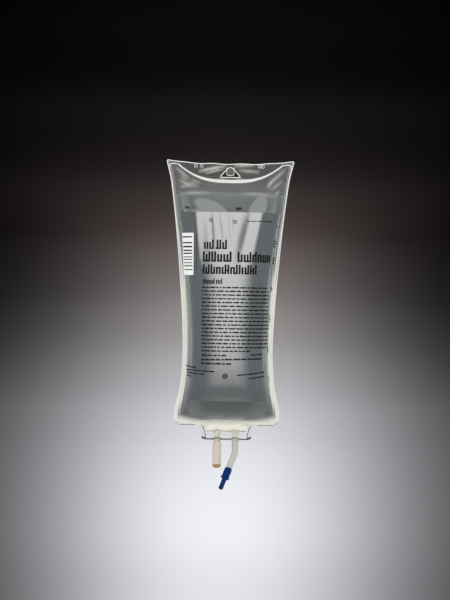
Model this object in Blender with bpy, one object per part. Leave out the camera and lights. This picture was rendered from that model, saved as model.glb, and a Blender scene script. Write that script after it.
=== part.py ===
"""One-litre infusion bag, filled and hanging from its slot.

Metres, +Z up, front towards -Y. The origin is the top of the hanger slot, where a hook bears.

The film is laid out flat first, as it is on the welding press: s runs across the sheet and
h runs up it. hang() then carries each point of the flat sheet to its place on the full bag.
The side weld keeps its length, so the film between the welds bends to the arc that this
length allows for the width of the hanging bag, and a narrower waist makes a deeper bag.
"""

import math

import bmesh
import bpy
from mathutils import Matrix, Vector

# Film and welds, measured on the flat sheet
BAG_WIDTH = 0.1318
FILM_THICKNESS = 0.0004
SIDE_WELD = 0.0035
LAND_ABOVE_HOOK = 0.0036
FLOOR_WELD = 0.0020
TOP_CORNER_RADIUS = 0.0018
BOTTOM_CORNER_RADIUS = 0.0085

# Widths of the hanging bag, across both side welds, and how far each lies below the hook
SHOULDER_WIDTH = 0.1204
SHOULDER_DROP = 0.018
CHEST_WIDTH = 0.1036
CHEST_DROP = 0.095
WAIST_WIDTH = 0.0926
WAIST_DROP = 0.180
HIP_WIDTH = 0.0962
HIP_DROP = 0.222
HEM_WIDTH = 0.1080
HEM_DROP = 0.257

# Chamber: the weld that closes its top is a hanging curve, and its floor is rounded
SMILE_DROP = 0.0150
SMILE_RISE = 0.0185
SMILE_POWER = 2.7
CHAMBER_TOP = 0.0021
TOP_SLOPE = math.radians(39)
FLOOR_DROP = 0.2632
FLOOR_ROUND = 0.031
LIQUID_LEVEL = -0.0263
TIP_RISE = 0.0038
TIP_POWER = 3
TIP_FADE = 0.034

# Hanger slot, with the tongue that the die leaves on its upper edge
SLOT_TOP_RADIUS = 0.0037
SLOT_BASE_WIDTH = 0.0190
SLOT_BASE_RADIUS = 0.0009
SLOT_HEIGHT = 0.0103
TONGUE_LENGTH = 0.0090
TONGUE_ROOT_WIDTH = 0.0066
TONGUE_TIP_WIDTH = 0.0034
TONGUE_ANGLE = math.radians(32)
TONGUE_BEND_RADIUS = 0.0030
TONGUE_OVERLAP = 0.0006

# Neck and skirt, where the ports are welded in. They lean forward as the bag hangs
NECK_WIDTH = 0.0430
NECK_LENGTH = 0.0067
NECK_DEPTH = 0.0046
NECK_POWER = 4
SKIRT_WIDTH = 0.0536
SKIRT_LENGTH = 0.0160
SKIRT_FILLET = 0.0032
SKIRT_CORNER_RADIUS = 0.0012
COLLAR_TOP = 0.0009
PORT_LEAN = math.radians(26)

# Label panel on the front
PANEL_TOP = -0.0469
PANEL_BOTTOM = -0.2390
PANEL_THICKNESS = 0.0002
PANEL_SIDE_MARGIN_TOP = 0.0010
PANEL_SIDE_MARGIN_LOW = 0.0058
PANEL_TAPER_DROP = 0.080
PANEL_CORNER_RADIUS = 0.0010

# Ports: lengths run down the leaning axis from the bag's lower edge
PORT_TUBE_DIAMETER = 0.0065
PORT_TUBE_WALL = 0.0009
PORT_TUBE_TOP = 0.0030
MEDICATION_PORT_X = -0.0095
MEDICATION_TUBE_END = 0.0330
SLEEVE_TOP = 0.0195
SLEEVE_END = 0.0445
SLEEVE_WALL = 0.0009
SLEEVE_RING_DROP = 0.0362
SLEEVE_RING_DEPTH = 0.0002
SLEEVE_RING_WIDTH = 0.0009
STOPPER_LENGTH = 0.0085
STOPPER_HEAD_DIAMETER = 0.0082
STOPPER_HEAD_THICKNESS = 0.0009
OUTLET_PORT_X = 0.0090
OUTLET_BEND_DROP = 0.0285
OUTLET_BEND_RADIUS = 0.014
OUTLET_TILT = math.radians(20)
OUTLET_LOWER_LENGTH = 0.0150
MEMBRANE_TUBE_WALL = 0.0007
MEMBRANE_TUBE_INSERT = 0.0125
MEMBRANE_TUBE_STAND_OUT = 0.0085
MEMBRANE_THICKNESS = 0.0005
MEMBRANE_SET_BACK = 0.0100

# Pull-off protector
PROTECTOR_BODY_DIAMETER = 0.0077
PROTECTOR_BODY_LENGTH = 0.0112
PROTECTOR_SHOULDER = 0.0014
PROTECTOR_FLANGE_DIAMETER = 0.0088
PROTECTOR_FLANGE_THICKNESS = 0.0013
PROTECTOR_STEM_DIAMETER = 0.0047
PROTECTOR_STEM_LENGTH = 0.0126
PROTECTOR_STEM_ROUND = 0.0009
PROTECTOR_BORE_FLOOR = 0.0012

# Clearances between pieces that touch
SEAT_GAP = 0.0003
LIQUID_GAP = 0.0008
PANEL_GAP = 0.00035
WELD_OVERLAP = 0.00005

# How finely the forms are divided, and how they are shaded
CHAMBER_COLUMNS = 16
NECK_COLUMN_SHARE = 0.84
COLUMN_CLEARANCE = 0.25
UPPER_ROW_STEP = 0.0055
MIDDLE_ROWS = 13
FLOOR_ROWS = 8
NECK_ROWS = 3
LIQUID_COLUMNS = 12
CORNER_STEPS = 5
SLOT_STEPS = 10
PANEL_EDGE_STEPS = 12
BEND_STEPS = 5
ROUND_SEGMENTS = 20
FORM_SMOOTHING = math.radians(60)
ROUND_SMOOTHING = math.radians(35)

# Sizes that follow from those above
HALF_WIDTH = BAG_WIDTH / 2
CHAMBER_HALF = HALF_WIDTH - SIDE_WELD
CHAMBER_FLOOR = -FLOOR_DROP
BAG_EDGE = CHAMBER_FLOOR - FLOOR_WELD
PORT_TUBE_RADIUS = PORT_TUBE_DIAMETER / 2
PORT_BORE_RADIUS = PORT_TUBE_RADIUS - PORT_TUBE_WALL
PORT_SEAT_RADIUS = PORT_TUBE_RADIUS + SEAT_GAP
SLEEVE_RADIUS = PORT_SEAT_RADIUS + SLEEVE_WALL
MEMBRANE_TUBE_RADIUS = PORT_BORE_RADIUS - SEAT_GAP
SHEET_OFFSET = (SEAT_GAP + FILM_THICKNESS) / 2
SLOT_CUTTER_REACH = 0.005
FRONT = -1
BACK = 1


def clear_scene():
    for obj in list(bpy.data.objects):
        bpy.data.objects.remove(obj, do_unlink=True)


def plastic(name, colour, roughness, alpha=1.0, metallic=0.0):
    """A Principled material, colour in linear red, green and blue."""
    material = bpy.data.materials.new(name)
    material.use_nodes = True
    shader = material.node_tree.nodes["Principled BSDF"]
    shader.inputs["Base Color"].default_value = (*colour, 1)
    shader.inputs["Roughness"].default_value = roughness
    shader.inputs["Metallic"].default_value = metallic
    shader.inputs["Alpha"].default_value = alpha
    material.diffuse_color = (*colour, alpha)
    return material


def add_object(name, mesh, material=None, parent=None):
    obj = bpy.data.objects.new(name, mesh)
    bpy.context.scene.collection.objects.link(obj)
    obj.parent = parent
    if material:
        mesh.materials.append(material)
    return obj


def add_mesh(name, bm, material=None, parent=None, smooth_angle=None, is_sheet=False):
    """Turns a bmesh into an object. A closed form gets its faces turned out, a sheet keeps them."""
    if not is_sheet:
        bmesh.ops.recalc_face_normals(bm, faces=bm.faces)
    mesh = bpy.data.meshes.new(name)
    bm.to_mesh(mesh)
    bm.free()
    if smooth_angle:
        mesh.shade_smooth()
        mesh.set_sharp_from_angle(angle=smooth_angle)
    return add_object(name, mesh, material, parent)


def as_cutter(obj):
    obj.hide_render = True
    obj.display_type = "WIRE"
    return obj


def add_boolean(obj, operation, other):
    modifier = obj.modifiers.new(f"{operation.lower()} {other.name}", "BOOLEAN")
    modifier.operation = operation
    modifier.solver = "EXACT"
    modifier.object = other


def smoothstep(low, high, value):
    share = min(max((value - low) / (high - low), 0), 1)
    return share * share * (3 - 2 * share)


# The form of the hanging bag


def hung_half_width(height):
    """Half the width of the hanging film, by a smooth curve through its sections."""
    sections = [
        (-HEM_DROP, HEM_WIDTH / 2),
        (-HIP_DROP, HIP_WIDTH / 2),
        (-WAIST_DROP, WAIST_WIDTH / 2),
        (-CHEST_DROP, CHEST_WIDTH / 2),
        (-SHOULDER_DROP, SHOULDER_WIDTH / 2),
        (LAND_ABOVE_HOOK + TIP_RISE, BAG_WIDTH / 2),
    ]
    slopes = []
    for i in range(len(sections)):
        low = sections[max(i - 1, 0)]
        high = sections[min(i + 1, len(sections) - 1)]
        slopes.append((high[1] - low[1]) / (high[0] - low[0]))
    slopes[0] = 0
    height = min(max(height, sections[0][0]), sections[-1][0])
    i = max(k for k in range(len(sections) - 1) if sections[k][0] <= height)
    (low, start), (high, end) = sections[i], sections[i + 1]
    span = high - low
    t = (height - low) / span
    return (
        start * (1 + 2 * t) * (1 - t) ** 2
        + slopes[i] * span * t * (1 - t) ** 2
        + end * t * t * (3 - 2 * t)
        + slopes[i + 1] * span * t * t * (t - 1)
    )


def arc_half_angle(chord_share):
    """Half the angle of the arc whose chord is this share of its length."""
    chord_share = min(chord_share, 0.9995)
    angle = math.sqrt(6 * (1 - chord_share))
    for _ in range(12):
        miss = math.sin(angle) / angle - chord_share
        slope = (angle * math.cos(angle) - math.sin(angle)) / angle**2
        angle -= miss / slope
    return angle


def top_weld(s):
    """Height of the weld that closes the chamber, a curve that hangs between the top corners."""
    rise = SMILE_RISE * (abs(s) / (CHAMBER_HALF - SIDE_WELD)) ** SMILE_POWER
    return min(rise - SMILE_DROP, CHAMBER_TOP)


def neck_depth(s, h):
    """How far the film stands off the weld plane in the neck, which the port tubes hold open."""
    side = max(0, 1 - abs(2 * s / NECK_WIDTH) ** NECK_POWER)
    close = min(max((h - CHAMBER_FLOOR + NECK_LENGTH) / NECK_LENGTH, 0), 1)
    return NECK_DEPTH * math.sqrt(side * close)


def section(s, h):
    """Where flat point s, h lies across the hanging bag, and how far from the weld plane."""
    chord = hung_half_width(h) - SIDE_WELD
    angle = arc_half_angle(chord / CHAMBER_HALF)
    radius = CHAMBER_HALF / angle
    inner = min(max(s, -CHAMBER_HALF), CHAMBER_HALF)
    across = radius * math.sin(inner / radius) + s - inner
    arc = max(radius * (math.cos(inner / radius) - math.cos(angle)), 1e-7)
    opening = max(top_weld(s) - h, 0) * math.tan(TOP_SLOPE)
    up_floor = min(max((h - CHAMBER_FLOOR) / FLOOR_ROUND, 0), 1)
    depth = arc * math.tanh(opening / arc) * math.sqrt(1 - (1 - up_floor) ** 2)
    if h < CHAMBER_FLOOR + FLOOR_ROUND:
        depth = max(depth, neck_depth(s, h))
    return across, depth


def hang(s, h, side):
    """Place of flat point s, h in the middle of the front or back film of the hanging bag."""
    across, depth = section(s, h)
    lift = TIP_RISE * (abs(s) / HALF_WIDTH) ** TIP_POWER
    z = h + lift * smoothstep(-TIP_FADE, LAND_ABOVE_HOOK, h)
    y = side * (depth + SHEET_OFFSET)
    below = max(BAG_EDGE - h, 0)
    y -= below * math.sin(PORT_LEAN)
    z += below * (1 - math.cos(PORT_LEAN))
    return Vector((across, y, z))


# Flat outlines


def arc_points(centre, radius, start, end, steps=CORNER_STEPS):
    """Points along an arc in the flat sheet, angles in degrees."""
    points = []
    for i in range(steps + 1):
        angle = math.radians(start + (end - start) * i / steps)
        across = centre[0] + radius * math.cos(angle)
        points.append((across, centre[1] + radius * math.sin(angle)))
    return points


def mirrored(right_half):
    """Closes an outline whose right half runs from the top to the bottom."""
    return right_half + [(-s, h) for s, h in reversed(right_half)]


def film_outline():
    """The die-cut sheet: a rectangle with rounded corners, and the skirt below it."""
    skirt = SKIRT_WIDTH / 2
    skirt_end = BAG_EDGE - SKIRT_LENGTH
    corner, top, tip = BOTTOM_CORNER_RADIUS, TOP_CORNER_RADIUS, SKIRT_CORNER_RADIUS
    right = arc_points((HALF_WIDTH - top, LAND_ABOVE_HOOK - top), top, 90, 0)
    right += arc_points((HALF_WIDTH - corner, BAG_EDGE + corner), corner, 0, -90)
    fillet = (skirt + SKIRT_FILLET, BAG_EDGE - SKIRT_FILLET)
    right += arc_points(fillet, SKIRT_FILLET, 90, 180)
    right += arc_points((skirt - tip, skirt_end + tip), tip, 0, -90)
    return mirrored(right)


def panel_outline():
    """The label panel: as wide as the chamber at its top, and tapering clear of the side welds."""
    right = []
    for i in range(PANEL_EDGE_STEPS + 1):
        h = PANEL_TOP + (PANEL_BOTTOM - PANEL_TOP) * i / PANEL_EDGE_STEPS
        taper = smoothstep(0, PANEL_TAPER_DROP, PANEL_TOP - h)
        margin = PANEL_SIDE_MARGIN_TOP
        margin += (PANEL_SIDE_MARGIN_LOW - PANEL_SIDE_MARGIN_TOP) * taper
        chord = hung_half_width(h) - SIDE_WELD
        radius = CHAMBER_HALF / arc_half_angle(chord / CHAMBER_HALF)
        edge = radius * math.asin(min((chord - margin) / radius, 1))
        right.append((edge, h))
    r = PANEL_CORNER_RADIUS
    top_edge, bottom_edge = right[0][0], right[-1][0]
    upper = arc_points((top_edge - r, PANEL_TOP - r), r, 90, 0, 2)
    lower = arc_points((bottom_edge - r, PANEL_BOTTOM + r), r, 0, -90, 2)
    return mirrored(upper + right[1:-1] + lower)


def sheet_columns():
    """Where the flat sheet is divided across, with lines on the welds and the neck."""
    chamber = [CHAMBER_HALF * (2 * i / CHAMBER_COLUMNS - 1) for i in range(CHAMBER_COLUMNS + 1)]
    neck = [side * NECK_WIDTH / 2 for side in (-1, 1)]
    neck += [NECK_COLUMN_SHARE * s for s in neck]
    near = COLUMN_CLEARANCE * CHAMBER_HALF * 2 / CHAMBER_COLUMNS
    kept = [s for s in chamber if all(abs(s - other) > near for other in neck)]
    return sorted(kept + neck)


def sheet_rows():
    """Where the flat sheet is divided down its height, closest where the film bends most."""
    rows = [LAND_ABOVE_HOOK - UPPER_ROW_STEP / 2]
    while rows[-1] > PANEL_TOP + UPPER_ROW_STEP:
        rows.append(rows[-1] - UPPER_ROW_STEP)
    floor_start = CHAMBER_FLOOR + FLOOR_ROUND
    start = rows[-1]
    for i in range(1, MIDDLE_ROWS + 1):
        rows.append(start + (floor_start - start) * i / MIDDLE_ROWS)
    for i in range(1, FLOOR_ROWS + 1):
        rise = 1 - math.sin(math.radians(90 * i / FLOOR_ROWS))
        rows.append(CHAMBER_FLOOR + FLOOR_ROUND * rise)
    for i in range(1, NECK_ROWS + 1):
        rows.append(CHAMBER_FLOOR - NECK_LENGTH * i / NECK_ROWS)
    return rows


def formed_sheet(outline, side):
    """Cuts the flat outline into a grid and hangs it: one layer, facing out of the bag."""
    bm = bmesh.new()
    bm.faces.new([bm.verts.new((s, 0, h)) for s, h in outline])
    lines = [((s, 0, 0), (1, 0, 0)) for s in sheet_columns()]
    lines += [((0, 0, h), (0, 0, 1)) for h in sheet_rows()]
    for point, normal in lines:
        everything = bm.verts[:] + bm.edges[:] + bm.faces[:]
        bmesh.ops.bisect_plane(bm, geom=everything, dist=1e-6, plane_co=point, plane_no=normal)
    bmesh.ops.remove_doubles(bm, verts=bm.verts, dist=1e-6)
    bmesh.ops.triangulate(bm, faces=bm.faces, quad_method="SHORT_EDGE")
    for vert in bm.verts:
        vert.co = hang(vert.co.x, vert.co.z, side)
    if side == FRONT:
        bmesh.ops.reverse_faces(bm, faces=bm.faces)
    return bm


def thicken(obj, thickness):
    modifier = obj.modifiers.new("film thickness", "SOLIDIFY")
    modifier.thickness = thickness
    modifier.offset = 0


# Film, panel and liquid


def slot_cutter():
    """The slot's outline, a band stretched round three pins, as a block through both sheets."""
    pin_x = SLOT_BASE_WIDTH / 2 - SLOT_BASE_RADIUS
    pin_h = -SLOT_HEIGHT + SLOT_BASE_RADIUS
    across, down = pin_x, -SLOT_TOP_RADIUS - pin_h
    toward = math.atan2(-down, across)
    meets = math.acos((SLOT_TOP_RADIUS - SLOT_BASE_RADIUS) / math.hypot(across, down))
    side = math.degrees(toward + meets)
    circles = [
        ((0, -SLOT_TOP_RADIUS), SLOT_TOP_RADIUS, side, 180 - side),
        ((-pin_x, pin_h), SLOT_BASE_RADIUS, 180 - side, 270),
        ((pin_x, pin_h), SLOT_BASE_RADIUS, 270, 360 + side),
    ]
    bm = bmesh.new()
    rim = []
    for centre, radius, start, end in circles:
        for s, h in arc_points(centre, radius, start, end, SLOT_STEPS):
            rim.append(bm.verts.new((s, -SLOT_CUTTER_REACH, h)))
    extrude(bm, bm.faces.new(rim), (0, 2 * SLOT_CUTTER_REACH, 0))
    return as_cutter(add_mesh("slot_cutter", bm))


def hanger_tongue():
    """The slug of the slot, still held at its upper edge and pushed back through the slot."""
    root_half = TONGUE_ROOT_WIDTH / 2
    root_drop = SLOT_TOP_RADIUS - math.sqrt(SLOT_TOP_RADIUS**2 - root_half**2)
    arc = TONGUE_BEND_RADIUS * TONGUE_ANGLE
    rows = [(SHEET_OFFSET, TONGUE_OVERLAP, 0.0, root_half)]
    for i in range(BEND_STEPS + 1):
        angle = TONGUE_ANGLE * i / BEND_STEPS
        y = SHEET_OFFSET + TONGUE_BEND_RADIUS * (1 - math.cos(angle))
        z = -root_drop - TONGUE_BEND_RADIUS * math.sin(angle)
        rows.append((y, z, angle, root_half))
    rest = TONGUE_LENGTH - root_drop - arc
    y = rows[-1][0] + rest * math.sin(TONGUE_ANGLE)
    z = rows[-1][1] - rest * math.cos(TONGUE_ANGLE)
    rows.append((y, z, TONGUE_ANGLE, TONGUE_TIP_WIDTH / 2))
    half_thickness = FILM_THICKNESS / 2 - WELD_OVERLAP
    bm = bmesh.new()
    loops = []
    for y, z, angle, half in rows:
        out = Vector((0, math.cos(angle), math.sin(angle))) * half_thickness
        corners = [(-half, -1), (half, -1), (half, 1), (-half, 1)]
        loops.append([bm.verts.new(Vector((x, y, z)) + out * way) for x, way in corners])
    join_loops(bm, loops)
    return as_cutter(add_mesh("hanger_tongue", bm))


def add_port_collar(obj, side, x, port_frame):
    """Opens the film for a port tube and welds on the half round that it forms about the tube."""
    name = f"{obj.name}_{'medication' if x < 0 else 'outlet'}"
    inner = PORT_SEAT_RADIUS
    outer = inner + FILM_THICKNESS
    steps = ROUND_SEGMENTS // 2
    outline = []
    for radius, way in ((outer, 1), (inner, -1)):
        start = math.asin((SEAT_GAP / 2 + WELD_OVERLAP) / radius)
        arc = []
        for i in range(steps + 1):
            angle = start + (math.pi - 2 * start) * i / steps
            arc.append((x + radius * math.cos(angle), side * radius * math.sin(angle)))
        outline += arc[::way]
    bm = bmesh.new()
    rim = [bm.verts.new((across, out, -SKIRT_LENGTH)) for across, out in outline]
    extrude(bm, bm.faces.new(rim), (0, 0, SKIRT_LENGTH - COLLAR_TOP))
    collar = as_cutter(add_mesh(f"{name}_collar", bm, parent=port_frame))
    reach = (COLLAR_TOP + FILM_THICKNESS, SKIRT_LENGTH + SEAT_GAP)
    middle = (inner + outer) / 2
    seat = as_cutter(rod(f"{name}_seat", middle, *reach, port_frame, x))
    add_boolean(obj, "DIFFERENCE", seat)
    add_boolean(obj, "UNION", collar)


def rod(name, radius, top, end, parent, x=0.0):
    """A plain round solid down a port's axis."""
    bm = bmesh.new()
    bmesh.ops.create_cone(
        bm,
        cap_ends=True,
        segments=ROUND_SEGMENTS,
        radius1=radius,
        radius2=radius,
        depth=end - top,
        matrix=Matrix.Translation((x, 0, -(top + end) / 2)),
    )
    return add_mesh(name, bm, parent=parent)


def film(name, side, material, port_frame):
    """One of the two welded sheets, formed over the liquid and round the ports."""
    bm = formed_sheet(film_outline(), side)
    obj = add_mesh(name, bm, material, smooth_angle=FORM_SMOOTHING, is_sheet=True)
    thicken(obj, FILM_THICKNESS)
    add_boolean(obj, "DIFFERENCE", bpy.data.objects["slot_cutter"])
    for x in (MEDICATION_PORT_X, OUTLET_PORT_X):
        add_port_collar(obj, side, x, port_frame)
    return obj


def label_panel(material):
    """The thin panel on the front film, which carries the print."""
    bm = formed_sheet(panel_outline(), FRONT)
    obj = add_mesh("label_panel", bm, material, smooth_angle=FORM_SMOOTHING, is_sheet=True)
    lift = obj.modifiers.new("clear of the film", "DISPLACE")
    lift.direction = "NORMAL"
    lift.mid_level = 0
    lift.strength = (FILM_THICKNESS + PANEL_THICKNESS) / 2 + PANEL_GAP
    thicken(obj, PANEL_THICKNESS)
    return obj


def liquid_ring(bm, h):
    """One level ring of the liquid at height h, clear of the film all round."""
    shrink = 1 - LIQUID_GAP / CHAMBER_HALF
    ring = []
    for side in (FRONT, BACK):
        for i in range(LIQUID_COLUMNS + 1):
            across, depth = section(side * CHAMBER_HALF * (1 - 2 * i / LIQUID_COLUMNS), h)
            clear_depth = max(depth - LIQUID_GAP, LIQUID_GAP / 4)
            ring.append(bm.verts.new((across * shrink, side * clear_depth, h)))
    return ring


def liquid(material, port_frame):
    """The fill: level on top and formed by the film below, with a stalk down each port."""
    bottom = CHAMBER_FLOOR + 2 * LIQUID_GAP
    levels = [h for h in sheet_rows() if bottom + LIQUID_GAP < h < LIQUID_LEVEL - LIQUID_GAP]
    bm = bmesh.new()
    join_loops(bm, [liquid_ring(bm, h) for h in [LIQUID_LEVEL] + levels + [bottom]])
    obj = add_mesh("saline", bm, material, smooth_angle=FORM_SMOOTHING)
    # Each stalk starts inside the body of the liquid, with its whole slanted end covered.
    bore = PORT_BORE_RADIUS - SEAT_GAP
    start = -(FLOOR_WELD + 3 * LIQUID_GAP) / math.cos(PORT_LEAN) - bore
    for x, end in ((MEDICATION_PORT_X, MEDICATION_TUBE_END), (OUTLET_PORT_X, OUTLET_BEND_DROP)):
        stalk = rod(f"saline_stalk_{'left' if x < 0 else 'right'}", bore, start, end, port_frame, x)
        add_boolean(obj, "UNION", as_cutter(stalk))
    return obj


def join_loops(bm, loops):
    """Skins a row of closed rings, and caps both ends."""
    for upper, lower in zip(loops, loops[1:]):
        for k in range(len(upper)):
            bm.faces.new([upper[k], upper[k - 1], lower[k - 1], lower[k]])
    bm.faces.new(loops[0])
    bm.faces.new(loops[-1])


def extrude(bm, face, move):
    made = bmesh.ops.extrude_face_region(bm, geom=[face])
    moved = [item for item in made["geom"] if isinstance(item, bmesh.types.BMVert)]
    bmesh.ops.translate(bm, verts=moved, vec=move)


# Ports


def turned(name, profile, material, parent, x=0.0, segments=ROUND_SEGMENTS):
    """A turned piece: its half section, as radius and drop, spun about the port's axis."""
    bm = bmesh.new()
    verts = [bm.verts.new((radius, 0, -drop)) for radius, drop in profile]
    edges = [bm.edges.new((verts[i - 1], verts[i])) for i in range(len(verts))]
    edges = [e for e in edges if max(v.co.x for v in e.verts) > 1e-7]
    bmesh.ops.spin(
        bm,
        geom=edges,
        cent=(0, 0, 0),
        axis=(0, 0, 1),
        angle=2 * math.pi,
        steps=segments,
        use_merge=True,
    )
    bmesh.ops.remove_doubles(bm, verts=bm.verts, dist=1e-6)
    obj = add_mesh(name, bm, material, parent, smooth_angle=ROUND_SMOOTHING)
    obj.location.x = x
    return obj


def rounded(radius, drop, corner, start, end, steps=3):
    """A quarter round in a half section, about the centre given by radius and drop."""
    points = []
    for i in range(steps + 1):
        angle = math.radians(start + (end - start) * i / steps)
        points.append((radius + corner * math.cos(angle), drop - corner * math.sin(angle)))
    return points


def medication_port(frame, tube_material, sleeve_material, stopper_material):
    tube = [
        (PORT_TUBE_RADIUS, PORT_TUBE_TOP),
        (PORT_TUBE_RADIUS, MEDICATION_TUBE_END),
        (PORT_BORE_RADIUS, MEDICATION_TUBE_END),
        (PORT_BORE_RADIUS, PORT_TUBE_TOP),
    ]
    turned("medication_port_tube", tube, tube_material, frame, MEDICATION_PORT_X)
    ring = SLEEVE_RING_DROP
    chamfer = SLEEVE_WALL / 3
    sleeve = [
        (PORT_SEAT_RADIUS, SLEEVE_TOP),
        (SLEEVE_RADIUS - chamfer, SLEEVE_TOP),
        (SLEEVE_RADIUS, SLEEVE_TOP + chamfer),
        (SLEEVE_RADIUS, ring - SLEEVE_RING_WIDTH / 2),
        (SLEEVE_RADIUS - SLEEVE_RING_DEPTH, ring),
        (SLEEVE_RADIUS, ring + SLEEVE_RING_WIDTH / 2),
        (SLEEVE_RADIUS, SLEEVE_END),
        (PORT_SEAT_RADIUS, SLEEVE_END),
    ]
    turned("medication_port_sleeve", sleeve, sleeve_material, frame, MEDICATION_PORT_X)
    head = STOPPER_HEAD_DIAMETER / 2
    plug = PORT_SEAT_RADIUS - SEAT_GAP
    under_head = SLEEVE_END + SEAT_GAP
    end = under_head + STOPPER_HEAD_THICKNESS
    edge = STOPPER_HEAD_THICKNESS / 3
    stopper = [
        (0, under_head - STOPPER_LENGTH),
        (plug - edge, under_head - STOPPER_LENGTH),
        (plug, under_head - STOPPER_LENGTH + edge),
        (plug, under_head),
        (head, under_head),
        (head, end - edge),
        (head - edge, end),
        (0, end),
    ]
    turned("medication_stopper", stopper, stopper_material, frame, MEDICATION_PORT_X)


def outlet_path():
    """The outlet tube's middle line in the port frame: straight, bent to one side, straight."""
    path = [(0.0, PORT_TUBE_TOP, 0.0)]
    for i in range(BEND_STEPS + 1):
        angle = OUTLET_TILT * i / BEND_STEPS
        side = OUTLET_BEND_RADIUS * (1 - math.cos(angle))
        path.append((side, OUTLET_BEND_DROP + OUTLET_BEND_RADIUS * math.sin(angle), angle))
    side, drop, angle = path[-1]
    side += OUTLET_LOWER_LENGTH * math.sin(angle)
    path.append((side, drop + OUTLET_LOWER_LENGTH * math.cos(angle), angle))
    return path


def outlet_port_tube(frame, material):
    """A hollow tube swept along the outlet's path."""
    bm = bmesh.new()
    rings = {PORT_TUBE_RADIUS: [], PORT_BORE_RADIUS: []}
    for side, drop, angle in outlet_path():
        for radius, loops in rings.items():
            loop = []
            for k in range(ROUND_SEGMENTS):
                turn = 2 * math.pi * k / ROUND_SEGMENTS
                across = radius * math.cos(turn)
                x = -side + across * math.cos(angle)
                z = -drop + across * -math.sin(angle)
                loop.append(bm.verts.new((x, radius * math.sin(turn), z)))
            loops.append(loop)
    outer, inner = rings[PORT_TUBE_RADIUS], rings[PORT_BORE_RADIUS]
    strips = list(zip(outer, outer[1:])) + list(zip(inner, inner[1:]))
    strips += [(outer[0], inner[0]), (outer[-1], inner[-1])]
    for first, second in strips:
        for k in range(ROUND_SEGMENTS):
            bm.faces.new([first[k], first[k - 1], second[k - 1], second[k]])
    obj = add_mesh("outlet_port_tube", bm, material, frame, smooth_angle=ROUND_SMOOTHING)
    obj.location.x = OUTLET_PORT_X
    return obj


def outlet_fittings(frame, membrane_material, protector_material):
    """The membrane tube in the outlet's end, and the protector that is pulled off it."""
    side, drop, angle = outlet_path()[-1]
    end = bpy.data.objects.new("outlet_end", None)
    bpy.context.scene.collection.objects.link(end)
    end.parent = frame
    end.location = (OUTLET_PORT_X - side, 0, -drop)
    end.rotation_euler = (0, angle, 0)
    outer, bore = MEMBRANE_TUBE_RADIUS, MEMBRANE_TUBE_RADIUS - MEMBRANE_TUBE_WALL
    top, bottom = -MEMBRANE_TUBE_INSERT, MEMBRANE_TUBE_STAND_OUT
    upper, lower = -MEMBRANE_SET_BACK, -MEMBRANE_SET_BACK + MEMBRANE_THICKNESS
    tube = [
        (outer, top),
        (outer, bottom),
        (bore, bottom),
        (bore, lower),
        (0, lower),
        (0, upper),
        (bore, upper),
        (bore, top),
    ]
    turned("outlet_membrane_tube", tube, membrane_material, end)
    top = SEAT_GAP
    body, flange, stem = [
        size / 2
        for size in (
            PROTECTOR_BODY_DIAMETER,
            PROTECTOR_FLANGE_DIAMETER,
            PROTECTOR_STEM_DIAMETER,
        )
    ]
    socket = MEMBRANE_TUBE_RADIUS + SEAT_GAP
    shoulder, tip = PROTECTOR_SHOULDER, PROTECTOR_STEM_ROUND
    flange_top = top + PROTECTOR_BODY_LENGTH - PROTECTOR_FLANGE_THICKNESS
    stem_end = top + PROTECTOR_BODY_LENGTH + PROTECTOR_STEM_LENGTH
    socket_floor = MEMBRANE_TUBE_STAND_OUT + PROTECTOR_BORE_FLOOR
    profile = [(0, socket_floor), (socket, socket_floor), (socket, top)]
    profile += rounded(body - shoulder, top + shoulder, shoulder, 90, 0)
    profile += [
        (body, flange_top),
        (flange, flange_top),
        (flange, top + PROTECTOR_BODY_LENGTH),
        (stem, top + PROTECTOR_BODY_LENGTH),
    ]
    profile += rounded(stem - tip, stem_end - tip, tip, 0, -90)
    profile += [(0, stem_end)]
    turned("outlet_protector", profile, protector_material, end)


def main():
    clear_scene()
    clear_film = plastic("clear PVC film", (0.78, 0.82, 0.84), 0.12, alpha=0.3)
    water = plastic("saline", (0.55, 0.62, 0.66), 0.02, alpha=0.4)
    silver = plastic("silver-grey panel", (0.38, 0.40, 0.42), 0.35, metallic=0.6)
    soft_tube = plastic("translucent PVC tube", (0.62, 0.61, 0.55), 0.3, alpha=0.8)
    beige = plastic("beige PVC sleeve", (0.62, 0.55, 0.43), 0.35)
    tan = plastic("tan rubber", (0.48, 0.27, 0.08), 0.6)
    blue = plastic("blue moulded plastic", (0.01, 0.04, 0.28), 0.35)

    port_frame = bpy.data.objects.new("port_frame", None)
    bpy.context.scene.collection.objects.link(port_frame)
    port_frame.location.z = BAG_EDGE
    port_frame.rotation_euler.x = -PORT_LEAN

    slot_cutter()
    film("front_film", FRONT, clear_film, port_frame)
    back = film("back_film", BACK, clear_film, port_frame)
    add_boolean(back, "UNION", hanger_tongue())
    label_panel(silver)
    liquid(water, port_frame)
    medication_port(port_frame, soft_tube, beige, tan)
    outlet_port_tube(port_frame, soft_tube)
    outlet_fittings(port_frame, soft_tube, blue)


main()
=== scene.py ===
"""Looks of the one-litre infusion bag: clear welded film over the liquid, a silver panel, two ports.

Metres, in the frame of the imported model: the origin is the top of the hanger slot, +Z is up and the
front faces -Y. Film is laid out flat first, s across it and h up it, and formed() carries it to its
hanging place.
"""

import math
import random

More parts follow.
